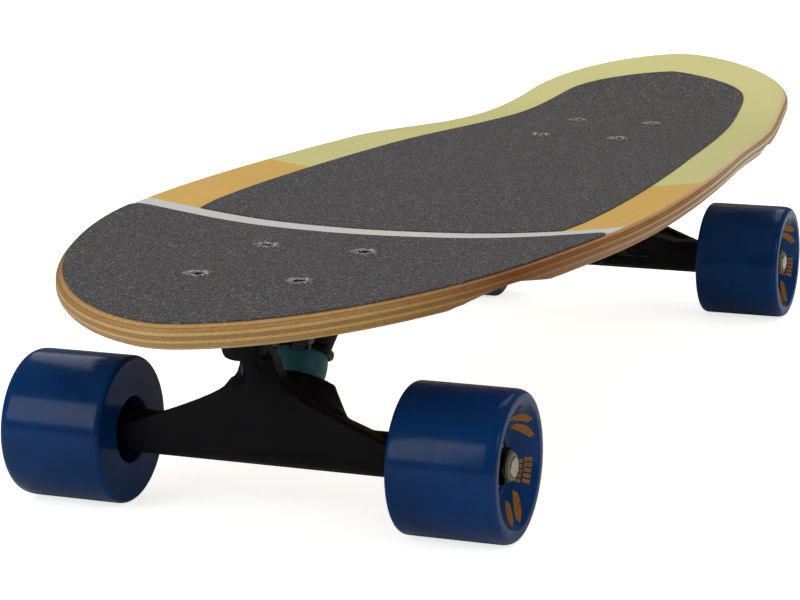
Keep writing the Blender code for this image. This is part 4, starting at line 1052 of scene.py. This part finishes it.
# The recess at its top and at its point: an arm's reach and half width as shares of its size, and height
RECESS_LEVELS = ((1.65, 0.26, 1), (0.35, 0.18, -1))
BOLT_NUT_ACROSS = 9.4
BOLT_NUT_HEIGHT = 5.5
BOLT_END_BEYOND = 0.6
COUNTERSINK = ((0, 3, 0), (5.1, 3, 0), (5.1, -0.2, 0), (2.8, -3.1, 0), (2.8, -16, 0), (0, -16, 0))

# Round the kingpin, with 0 at the middle of the hanger's bushing ring
KINGPIN_RADIUS = 4.76
KINGPIN_THREAD = (-10, -19.6)
KINGPIN_PITCH = 1.1
KINGPIN_HEAD = ((0, 38, 0), (7, 38, 0.6), (7, 32.7, 0.2), (KINGPIN_RADIUS, 32.7, 0),
                (KINGPIN_RADIUS, KINGPIN_THREAD[0], 0))
KINGPIN_END = ((4.2, -20.3, 0), (0, -20.3, 0))
KINGPIN_NUT_TOP = -13.1
KINGPIN_NUT_SIZES = (14.3, 4.5, 4.9, 1.7)  # across, height, bore, collar
UPPER_CUP = ((12.3, 17.3, 0.9), (12.3, 15, 0.5), (11.1, 15, 0.4), (11.1, 16, 0.5), (5.1, 16, 0.2),
             (5.1, 17.3, 0.3))
LOWER_CUP = ((9.8, -11.5, 0.4), (9.8, -12.8, 0.6), (5.1, -12.8, 0.2), (5.1, -11.5, 0.2))
# Each bushing's section, and its far and near ends
BUSHINGS = {
    "upper": (((10.1, 15.7, 1.0), (10.9, 10, 5), (10.2, 4.3, 1.0), (5.1, 4.3, 0.2), (5.1, 15.7, 0.2)),
              15.7, 4.3),
    "lower": (((10.1, -4.3, 1.0), (8.3, -11.2, 1.0), (5.1, -11.2, 0.2), (5.1, -4.3, 0.2)), -11.2, -4.3),
}

AXLE_RADIUS = 3.97
AXLE_END_RADIUS = 3.7
AXLE_CHAMFER = 0.5
AXLE_THREAD_LENGTH = 9
AXLE_PITCH = 1.2
AXLE_NUT_ACROSS = 12.7
AXLE_NUT_BORE = 4.1
NYLON_RADIUS = 5.6
SLEEVE_BORE = 4.2

# One face of a bearing from its outer race to its bore, and the seal between the races
BEARING_FACE = ((11, 3.5, 0.6), (9.3, 3.5, 0.15), (9.2, 3.05, 0), (6.5, 3.05, 0), (6.4, 3.5, 0.15),
                (4.25, 3.5, 0.3))
SEAL_INNER = 6.5
SEAL_OUTER = 9.2


def in_mm(corners):
    """Corners in millimetres as metres."""
    return [tuple(value * MM for value in corner) for corner in corners]


def flipped(section):
    """A half section as it runs back on the other side of height 0."""
    return [(radius, -height, rounding) for radius, height, rounding in reversed(section)]


def nut_mesh(name, across, height, bore, collar=0.0, sides=72):
    """A hexagon nut with chamfered ends, and a domed collar where it holds a nylon ring, all in mm."""
    across, height, bore, collar = (size * MM for size in (across, height, bore, collar))
    flat = across / 2
    rings = [(bore, 0)] + [(flat * reach, height * level) for reach, level in NUT_CHAMFERS]
    if collar:
        rings += [(flat * reach, height + collar * level) for reach, level in NUT_COLLAR]
    rings.append((bore, height + collar))
    vertices = []
    for reach, level in rings:
        for turn in turns(sides):
            to_flat = (turn + PI / 6) % (PI / 3) - PI / 6
            vertices.append(around_z(min(reach, flat / math.cos(to_flat)), turn, level))
    return mesh_from(name, vertices, ring_faces(len(rings), sides), angle=30)


def thread(radius, start, end, pitch):
    """The zigzag of a screw thread's half section."""
    depth = pitch * THREAD_DEPTH
    step = math.copysign(pitch, end - start)
    corners = []
    for i in range(int(abs(end - start) / pitch)):
        corners.append((radius, start + step * i, 0))
        corners.append((radius - depth, start + step * (i + 0.5), 0))
    return corners


def cross_recess(size, depth):
    """The tapered cross of a screwdriver recess, point down."""
    vertices = []
    for reach, arm, level in RECESS_LEVELS:
        corners = ((arm, -arm), (reach, -arm), (reach, arm))
        for k in range(4):
            spin = Matrix.Rotation(PI / 2 * k, 3, "Z")
            vertices += [spin @ Vector((size * x, size * y, depth * level)) for x, y in corners]
    return mesh_from("cross_recess", vertices, capped(len(RECESS_LEVELS), 4 * len(corners)))


def bolt_mesh(length):
    """A countersunk deck bolt with its recess, its shaft and the lock nut under the baseplate."""
    end = -length / MM
    threaded = end + BOLT_THREAD_LENGTH
    corners = [(0, 0, 0), (BOLT_HEAD_RADIUS, 0, 0.3), (BOLT_RADIUS, -BOLT_HEAD_DEPTH, 0.2)]
    corners += [(BOLT_RADIUS, threaded, 0)] + thread(BOLT_RADIUS, threaded, end + BOLT_POINT, BOLT_PITCH)
    corners += [(BOLT_RADIUS - 0.3, end, 0), (0, end, 0)]
    bolt = bpy.data.objects.new("bolt", turned("bolt", in_mm(corners), sides=48, closed=False))
    bpy.context.scene.collection.objects.link(bolt)
    cut(bolt, cross_recess(BOLT_RECESS_SIZE * MM, BOLT_RECESS_DEPTH * MM))
    collar = BOLT_NUT_HEIGHT * COLLAR_OF_BOLT_NUT
    nut = nut_mesh("lock_nut", BOLT_NUT_ACROSS, BOLT_NUT_HEIGHT - collar, BOLT_RADIUS + 0.05, collar)
    nut_top = (end + BOLT_END_BEYOND + BOLT_NUT_HEIGHT) * MM
    nut.transform(Matrix.Translation((0, 0, nut_top)) @ Matrix.Rotation(PI, 4, "X"))
    mesh = joined("deck_bolt", [bolt.data, nut], angle=30)
    bpy.data.objects.remove(bolt)
    return mesh


class Builder:
    """What every step of the build shares: its place in the menus and its undo."""

    bl_options = {"REGISTER", "UNDO"}


class CRUISER_OT_deck(Builder, bpy.types.Operator):
    """Build the pressed board with rounded rails, ground wells and paint"""

    bl_idname = "cruiser.deck"
    bl_label = "Deck"

    def execute(self, context):
        board = context.scene.cruiser_board
        plies = pressed_maple(board)
        deck = add_piece("deck_board", deck_mesh(board.rail_radius), [painted_maple(board), plies, plies],
                         "board", replaces=["deck"])
        for _, _, point in bolt_points():
            cut(deck, turned("countersink", in_mm(COUNTERSINK), sides=32, closed=False), deck_spot(point))
        shade(deck.data, SHEET_CREASE)
        return {"FINISHED"}


class CRUISER_OT_grit(Builder, bpy.types.Operator):
    """Lay the two grit sheets and tear them round the bolts"""

    bl_idname = "cruiser.grit"
    bl_label = "Grit sheets"

    def execute(self, context):
        board = context.scene.cruiser_board
        look = grit_paper(board)
        torn = torn_paper()
        for name, rows in (("grip_nose", nose_grip_rows()), ("grip_main", main_grip_rows())):
            sheet = add_piece(f"{name}_sheet", grip_mesh(name, rows), [look] * 3, "board",
                              replaces=[name])
            end = "front" if name == "grip_nose" else "rear"
            for seed, (truck, _, point) in enumerate(bolt_points()):
                if truck == end:
                    hole = ragged_disc("hole", BOLT_HOLE_RADIUS, -3 * MM, 4 * MM, seed)
                    cut(sheet, hole, deck_spot(point))
            shade(sheet.data, SHEET_CREASE)
        for seed, (truck, node, point) in enumerate(bolt_points()):
            ring = torn_ring(f"{node}_torn_paper", TORN_INNER, TORN_OUTER, seed)
            place = deck_spot(point, GRIP_LIFT + GRIP_THICKNESS - TORN_SINK)
            add_piece(f"{node}_torn_paper", ring, [torn], "board", place)
        return {"FINISHED"}


class CRUISER_OT_bolts(Builder, bpy.types.Operator):
    """Set the countersunk deck bolts and their lock nuts"""

    bl_idname = "cruiser.bolts"
    bl_label = "Deck bolts"

    def execute(self, context):
        look = machined_steel("black_oxide_steel", "#26262A", roughness=0.34)
        mesh = None
        for _, node, point in bolt_points():
            low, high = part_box(node)
            mesh = mesh or bolt_mesh(high.z - low.z)
            add_piece(f"{node}_fine", mesh.copy(), [look], "board",
                      Matrix.Translation(point), [node])
        return {"FINISHED"}


# Ribs that the castings have besides, level by level in their truck's frame, in millimetres:
# (half width, front in the middle, front at the sides, back, height)
RIBS = {
    "hanger": [[(24, -10, -9.4, -6, 8), (20, -11.6, -9.7, -6, 16), (14.5, -14.2, -10.1, -7, 22.5),
                (10, -16, -10.4, -8, 27), (7.4, -17.6, -10.6, -8, 30.6), (6.2, -18.4, -10.8, -8, 34),
                (5.8, -18.6, -10.8, -8, 36.5)],
               [(9, -10.4, -10.4, -1, 26), (6.6, -10.9, -10.9, -2.2, 35), (6.2, -10.9, -10.9, -5, 39.4)]],
    "baseplate": [[(8.2, -17, -16.5, -11.8, 37.4), (8.2, -17, -16.5, -11.8, 50)]],
}
RIB_COLUMNS = 16
RIB_SWELL = 1.5
# How far each step of smoothing moves a corner, and the share of the faces that is kept after it
CASTING_SOFTENING = 0.5
CASTING_SHARE_KEPT = 0.4


def lofted(stack, place):
    """A solid through a stack of levels, each with a front that swells out between its two skirts."""
    vertices = []
    for half, front, skirt, back, height in stack:
        level = [(-half, back, height)]
        for i in range(RIB_COLUMNS + 1):
            x = half * (2 * i / RIB_COLUMNS - 1)
            swell = max(0.0, math.cos(PI / 2 * x / half)) ** RIB_SWELL
            level.append((x, lerp(skirt, front, swell), height))
        level.append((half, back, height))
        vertices += [place @ Vector(corner) for corner in in_mm(level)]
    return mesh_from("rib", vertices, capped(len(stack), RIB_COLUMNS + 3))


class CRUISER_OT_castings(Builder, bpy.types.Operator):
    """Round the edges of the hangers and baseplates as castings have them, and coat them"""

    bl_idname = "cruiser.castings"
    bl_label = "Castings"

    def execute(self, context):
        truck = context.scene.cruiser_truck
        coat = powder_coat(truck)
        for end in ENDS:
            for part, body in (("hanger", f"{end}_hanger_set"), ("baseplate", "board")):
                node = f"{end}_{part}"
                solid = frame["nodes"][node].data
                mesh = joined(node, [solid] + [lofted(stack, truck_place(end)) for stack in RIBS[part]])
                casting = add_piece(f"{node}_casting", mesh, [], None)
                skin = casting.modifiers.new("skin", "REMESH")
                skin.mode = "VOXEL"
                skin.voxel_size = truck.casting_voxel
                fillets = casting.modifiers.new("fillets", "SMOOTH")
                fillets.factor = CASTING_SOFTENING
                fillets.iterations = truck.casting_rounds
                lighter = casting.modifiers.new("lighter", "DECIMATE")
                lighter.ratio = CASTING_SHARE_KEPT
                settled(casting)
                shade(casting.data, angle=60)
                casting.data.materials.append(coat)
                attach(casting, body)
                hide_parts(node)
        return {"FINISHED"}


class CRUISER_OT_pads(Builder, bpy.types.Operator):
    """Finish the riser pads and the pivot cups"""

    bl_idname = "cruiser.pads"
    bl_label = "Riser pads and pivot cups"

    def execute(self, context):
        rubber = moulded("moulded_rubber", "#161616", roughness=0.75, grain=0.8 * MM)
        nylon = moulded("moulded_nylon", "#1E1E20", roughness=0.5, grain=0.6 * MM)
        for end in ENDS:
            for part, look in (("riser", rubber), ("pivot_cup", nylon)):
                solid = frame["nodes"][f"{end}_{part}"].data
                solid.materials.clear()
                solid.materials.append(look)
        return {"FINISHED"}


class CRUISER_OT_kingpins(Builder, bpy.types.Operator):
    """Turn the kingpins, their nuts and the cup washers"""

    bl_idname = "cruiser.kingpins"
    bl_label = "Kingpins"

    def execute(self, context):
        zinc = machined_steel("zinc_plated_steel", "#C9C7C0", roughness=0.26)
        black = machined_steel("blackened_steel", "#1F1F22", roughness=0.3)
        pin = [*KINGPIN_HEAD, *thread(KINGPIN_RADIUS, *KINGPIN_THREAD, KINGPIN_PITCH), *KINGPIN_END]
        for end in ENDS:
            place = kingpin_place(end)
            under = place @ Matrix.Translation((0, 0, KINGPIN_NUT_TOP * MM)) @ Matrix.Rotation(PI, 4, "X")
            pieces = (
                ("kingpin", turned("kingpin", in_mm(pin), closed=False), zinc, "steel", place),
                ("kingpin_nut", nut_mesh("kingpin_nut", *KINGPIN_NUT_SIZES), black, "dark_steel", under),
                ("upper_cup_washer", turned("upper_cup", in_mm(UPPER_CUP)), black, "dark_steel", place),
                ("lower_cup_washer", turned("lower_cup", in_mm(LOWER_CUP)), black, "dark_steel", place),
            )
            for part, mesh, look, slot, spot in pieces:
                add_piece(f"{end}_{part}_fine", mesh, [look], "board", spot, [f"{end}_{part}"])
        return {"FINISHED"}


class CRUISER_OT_bushings(Builder, bpy.types.Operator):
    """Cast the bushings round the kingpins, between the board and the hanger"""

    bl_idname = "cruiser.bushings"
    bl_label = "Bushings"

    def execute(self, context):
        truck = context.scene.cruiser_truck
        look = cast_urethane("bushing_urethane", tuple(truck.bushing_colour), roughness=0.28,
                             cloudiness=0.25, translucence=0.35)
        for end in ENDS:
            place = kingpin_place(end)
            for part, (corners, far, near) in BUSHINGS.items():
                node = f"{end}_{part}_bushing"
                bushing = add_piece(f"{node}_fine", turned(node, in_mm(corners), steps=6), [look], None,
                                    place, [node])
                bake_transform(bushing)
        return {"FINISHED"}


class CRUISER_OT_axles(Builder, bpy.types.Operator):
    """Turn the axles and their washers, spacers and nuts"""

    bl_idname = "cruiser.axles"
    bl_label = "Axles"

    def execute(self, context):
        bright = machined_steel("ground_steel", "#BDB8AA", roughness=0.34)
        nylon = moulded("nylon_lock_ring", "#6A6550", roughness=0.5, grain=0.5 * MM)
        black = machined_steel("blackened_nut_steel", "#232326", roughness=0.32)
        for end in ENDS:
            body = f"{end}_hanger_set"
            low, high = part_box(f"{end}_axle")
            half = (high.x - low.x) / 2 / MM
            side = [(0, half, 0), (AXLE_END_RADIUS, half, 0.3)]
            side += thread(AXLE_RADIUS, half - AXLE_CHAMFER, half - AXLE_THREAD_LENGTH, AXLE_PITCH)
            corners = side + flipped(side)
            place = outward(middle(f"{end}_axle"), 1)
            mesh = turned("axle", in_mm(corners), sides=48, closed=False)
            add_piece(f"{end}_axle_fine", mesh, [bright], body, place, [f"{end}_axle"])
            for hand, sign in HANDS:
                name = f"{end}_{hand}"
                for part in ("bearing_spacer", "speed_washer"):
                    node = f"{name}_{part}"
                    low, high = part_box(node)
                    length = (high.x - low.x) / 2 / MM
                    radius = (high.z - low.z) / 2 / MM
                    ring = [(radius, length, 0.2), (radius, -length, 0.2),
                            (SLEEVE_BORE, -length, 0.1), (SLEEVE_BORE, length, 0.1)]
                    add_piece(f"{node}_fine", turned(part, in_mm(ring), sides=48), [bright], body,
                              outward(middle(node), sign), [node])
                node = f"{name}_axle_nut"
                low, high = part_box(node)
                length = high.x - low.x
                collar = length / MM * COLLAR_OF_AXLE_NUT
                nut = nut_mesh("axle_nut", AXLE_NUT_ACROSS, length / MM - collar, AXLE_NUT_BORE, collar)
                nut.transform(Matrix.Translation((0, 0, -length / 2)))
                # The nylon ring shows inside the collar
                for polygon in nut.polygons:
                    inside = Vector(polygon.center[:2]).length < NYLON_RADIUS * MM
                    polygon.material_index = int(inside and polygon.center.z > length * 0.3)
                add_piece(f"{node}_fine", nut, [black, nylon], body,
                          outward(middle(node), sign), [node])
        return {"FINISHED"}


class CRUISER_OT_bearings(Builder, bpy.types.Operator):
    """Turn the ball bearings with their races and seals"""

    bl_idname = "cruiser.bearings"
    bl_label = "Bearings"

    def execute(self, context):
        race = machined_steel("bearing_steel", "#A3A3A0", roughness=0.25)
        seal = moulded("bearing_seal_rubber", "#1A1A1C", roughness=0.5, grain=0.5 * MM)
        section = [*BEARING_FACE, *flipped(BEARING_FACE)]
        for end in ENDS:
            for hand, sign in HANDS:
                for part in ("inner_bearing", "outer_bearing"):
                    node = f"{end}_{hand}_{part}"
                    mesh = turned(part, in_mm(section), sides=72)
                    for polygon in mesh.polygons:
                        reach = Vector(polygon.center[:2]).length
                        polygon.material_index = int(SEAL_INNER * MM < reach < SEAL_OUTER * MM)
                    add_piece(f"{node}_fine", mesh, [race, seal], f"{end}_{hand}_wheel_set",
                              outward(middle(node), sign), [node])
        return {"FINISHED"}


# Wheel sizes in millimetres, the recess as (radius, height) at its rim and at its floor
WHEEL_RADIUS = 29
WHEEL_HALF_WIDTH = 21.5
WHEEL_BACK_BORE = 13
BEARING_SEAT_RADIUS = 11.2
BEARING_SEAT_START = 4.8
BEARING_SEAT_END = 12.4
HUB_BORE = 9.5
RECESS_RIM = (23.8, WHEEL_HALF_WIDTH)
RECESS_FLOOR = (14, 12.3)

# The print round a recess, in alike groups: turns in degrees, radii and widths in millimetres
PRINT_GROUPS = 3
PRINT_START = 15
PRINT_BANDS = (((28, 17.4), (-6, 21.6)), ((6, 16.4), (-26, 21.2)))
BAND_WIDTH = 2.8
BAND_STEPS = 14
BAND_TAPER = 0.4
BAR_ROWS = (16.9, 19.9)
BARS_IN_ROW = 5
BAR_BLOCK = 55
BAR_SPACING = 6
BAR_ROW_SHIFT = 2
BAR_HALF_LENGTH = 2.2
BAR_WIDTH = 2.5
INK_LIFTS = (0.05, 0.14)


def recess_height(radius):
    """Height of the wheel's recess at a radius."""
    share = (radius - RECESS_FLOOR[0]) / (RECESS_RIM[0] - RECESS_FLOOR[0])
    return lerp(RECESS_FLOOR[1], RECESS_RIM[1], share)


def print_band(start, end, width, steps=2, taper=0.0):
    """A thin band of ink on the recess between two (degrees, radius) places, its ends drawn in."""
    vertices = []
    for lift in INK_LIFTS:
        for edge in (-0.5, 0.5):
            for i in range(steps + 1):
                turn = math.radians(lerp(start[0], end[0], i / steps))
                narrowing = 1 - taper * (2 * i / steps - 1) ** 2
                radius = lerp(start[1], end[1], i / steps) + width * edge * narrowing
                height = recess_height(radius) + lift
                vertices.append(around_z(radius * MM, turn, height * MM))
    row = steps + 1
    faces = []
    for i in range(steps):
        for a, b in ((0, 1), (1, 3), (3, 2), (2, 0)):
            faces.append((a * row + i, a * row + i + 1, b * row + i + 1, b * row + i))
    faces.append((0, row, 3 * row, 2 * row))
    faces.append((steps, row + steps, 3 * row + steps, 2 * row + steps))
    return mesh_from("ink", vertices, faces)


def wheel_print_mesh():
    """Three pairs of slanted bands round the recess, with a block of short bars between each two."""
    patches = []
    for group in range(PRINT_GROUPS):
        turn = 360 / PRINT_GROUPS * group + PRINT_START
        for (start, inner), (end, outer) in PRINT_BANDS:
            patches.append(print_band((turn + start, inner), (turn + end, outer), BAND_WIDTH, BAND_STEPS,
                                      BAND_TAPER))
        for row, radius in enumerate(BAR_ROWS):
            for bar in range(BARS_IN_ROW):
                place = turn + BAR_BLOCK + (bar - BARS_IN_ROW // 2) * BAR_SPACING + row * BAR_ROW_SHIFT
                ends = [(place + reach, radius) for reach in (-BAR_HALF_LENGTH, BAR_HALF_LENGTH)]
                patches.append(print_band(*ends, BAR_WIDTH))
    return joined("wheel_print", patches)


class CRUISER_OT_wheels(Builder, bpy.types.Operator):
    """Cast the wheels and print their recesses"""

    bl_idname = "cruiser.wheels"
    bl_label = "Wheels"

    def execute(self, context):
        wheel = context.scene.cruiser_wheel
        look = cast_urethane("wheel_urethane", tuple(wheel.urethane_colour), roughness=0.14,
                             cloudiness=0.22, translucence=0.25)
        ink = printed_ink(wheel)
        lip = wheel.lip_radius / MM
        back_lip = wheel.back_lip_radius / MM
        section = [
            (*RECESS_RIM, 0.8), (WHEEL_RADIUS, WHEEL_HALF_WIDTH, lip),
            (WHEEL_RADIUS, -WHEEL_HALF_WIDTH, back_lip), (WHEEL_BACK_BORE, -WHEEL_HALF_WIDTH, 0.9),
            (WHEEL_BACK_BORE, -BEARING_SEAT_END, 0.3), (BEARING_SEAT_RADIUS, -BEARING_SEAT_END, 0.2),
            (BEARING_SEAT_RADIUS, -BEARING_SEAT_START, 0.2), (HUB_BORE, -BEARING_SEAT_START, 0.3),
            (HUB_BORE, BEARING_SEAT_START, 0.3), (BEARING_SEAT_RADIUS, BEARING_SEAT_START, 0.2),
            (BEARING_SEAT_RADIUS, BEARING_SEAT_END, 0.2), (*RECESS_FLOOR, 0.8),
        ]
        for end in ENDS:
            for hand, sign in HANDS:
                node = f"{end}_{hand}_wheel"
                body = f"{node}_set"
                place = outward(middle(node), sign)
                mesh = turned("wheel", in_mm(section), sides=144, steps=8)
                add_piece(f"{node}_cast", mesh, [look], body, place, [node])
                add_piece(f"{node}_print", wheel_print_mesh(), [ink], body, place)
        return {"FINISHED"}


class CRUISER_OT_stage(Builder, bpy.types.Operator):
    """Lay the floor, set the lights and place the camera"""

    bl_idname = "cruiser.stage"
    bl_label = "Stage"

    def execute(self, context):
        stage = context.scene.cruiser_stage
        made, tree, shader = new_material("pale_floor", tuple(stage.floor_colour), roughness=0.6)
        path = add_node(tree, "LightPath")
        level = add_node(tree, "Math", {0: path.outputs["Is Camera Ray"], 1: stage.floor_glow},
                         operation="MULTIPLY")
        glow = add_node(tree, "Emission", {"Color": (1, 1, 1, 1), "Strength": level})
        both = add_node(tree, "AddShader", {0: shader.outputs[0], 1: glow})
        tree.links.new(both.outputs[0], tree.nodes["Material Output"].inputs[0])
        signs = ((-1, -1), (1, -1), (1, 1), (-1, 1))
        corners = [(FLOOR_HALF_WIDTH * x, FLOOR_HALF_WIDTH * y, 0) for x, y in signs]
        mesh = bpy.data.meshes.new("floor")
        mesh.from_pydata(corners, [], [(0, 1, 2, 3)])
        add_piece("floor", mesh, [made], None)

        world = bpy.data.worlds.new("plain_room")
        world.use_nodes = True
        tree = world.node_tree
        path = add_node(tree, "LightPath")
        fill = add_node(tree, "MapRange", {0: path.outputs["Is Glossy Ray"], TO_LOW: stage.room_strength,
                                           TO_HIGH: stage.mirrored_strength})
        strength = add_node(tree, "MapRange", {0: path.outputs["Is Camera Ray"], TO_LOW: fill, TO_HIGH: 1.0})
        ground = tree.nodes["Background"]
        ground.inputs[0].default_value = (1, 1, 1, 1)
        tree.links.new(strength.outputs[0], ground.inputs[1])
        context.scene.world = world

        for name, spot, size, share in LAMPS:
            lamp = bpy.data.lights.new(name, "AREA")
            lamp.energy = stage.softbox_power * share
            lamp.size = size
            light = bpy.data.objects.new(name, lamp)
            context.scene.collection.objects.link(light)
            light.location = spot
            light.rotation_euler = (-Vector(spot)).to_track_quat("-Z", "Y").to_euler()

        camera = bpy.data.objects.new("camera", bpy.data.cameras.new("camera"))
        context.scene.collection.objects.link(camera)
        camera.location = CAMERA_PLACE
        camera.rotation_euler = CAMERA_TURN
        camera.data.lens = CAMERA_LENS
        camera.data.shift_x, camera.data.shift_y = CAMERA_SHIFT
        camera.data.clip_start = CAMERA_NEAR
        camera.data.clip_end = CAMERA_FAR
        context.scene.camera = camera
        context.scene.view_settings.view_transform = "Standard"
        return {"FINISHED"}


STEPS = (
    CRUISER_OT_deck, CRUISER_OT_grit, CRUISER_OT_bolts, CRUISER_OT_castings, CRUISER_OT_pads,
    CRUISER_OT_kingpins, CRUISER_OT_bushings, CRUISER_OT_axles, CRUISER_OT_bearings,
    CRUISER_OT_wheels, CRUISER_OT_stage,
)


class CRUISER_PT_panel(bpy.types.Panel):
    """Builds the cruiser piece by piece"""

    bl_idname = "CRUISER_PT_panel"
    bl_label = "Cruiser skateboard"
    bl_space_type = "VIEW_3D"
    bl_region_type = "UI"
    bl_category = "Cruiser"

    def draw(self, context):
        for group in SETTINGS:
            box = self.layout.box()
            for name in group.__annotations__:
                box.prop(getattr(context.scene, SETTINGS[group]), name)
        for step in STEPS:
            self.layout.operator(step.bl_idname)


SETTINGS = {
    BoardSettings: "cruiser_board",
    WheelSettings: "cruiser_wheel",
    TruckSettings: "cruiser_truck",
    StageSettings: "cruiser_stage",
}


def register():
    for group, name in SETTINGS.items():
        bpy.utils.register_class(group)
        setattr(bpy.types.Scene, name, PointerProperty(type=group))
    for step in STEPS:
        bpy.utils.register_class(step)
    bpy.utils.register_class(CRUISER_PT_panel)


def unregister():
    bpy.utils.unregister_class(CRUISER_PT_panel)
    for step in reversed(STEPS):
        bpy.utils.unregister_class(step)
    for group, name in SETTINGS.items():
        delattr(bpy.types.Scene, name)
        bpy.utils.unregister_class(group)


def main():
    """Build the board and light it."""
    register()
    bpy.ops.cruiser.deck()
    bpy.ops.cruiser.grit()
    bpy.ops.cruiser.bolts()
    bpy.ops.cruiser.castings()
    bpy.ops.cruiser.pads()
    bpy.ops.cruiser.kingpins()
    bpy.ops.cruiser.bushings()
    bpy.ops.cruiser.axles()
    bpy.ops.cruiser.bearings()
    bpy.ops.cruiser.wheels()
    bpy.ops.cruiser.stage()


if __name__ == "__main__":
    main()
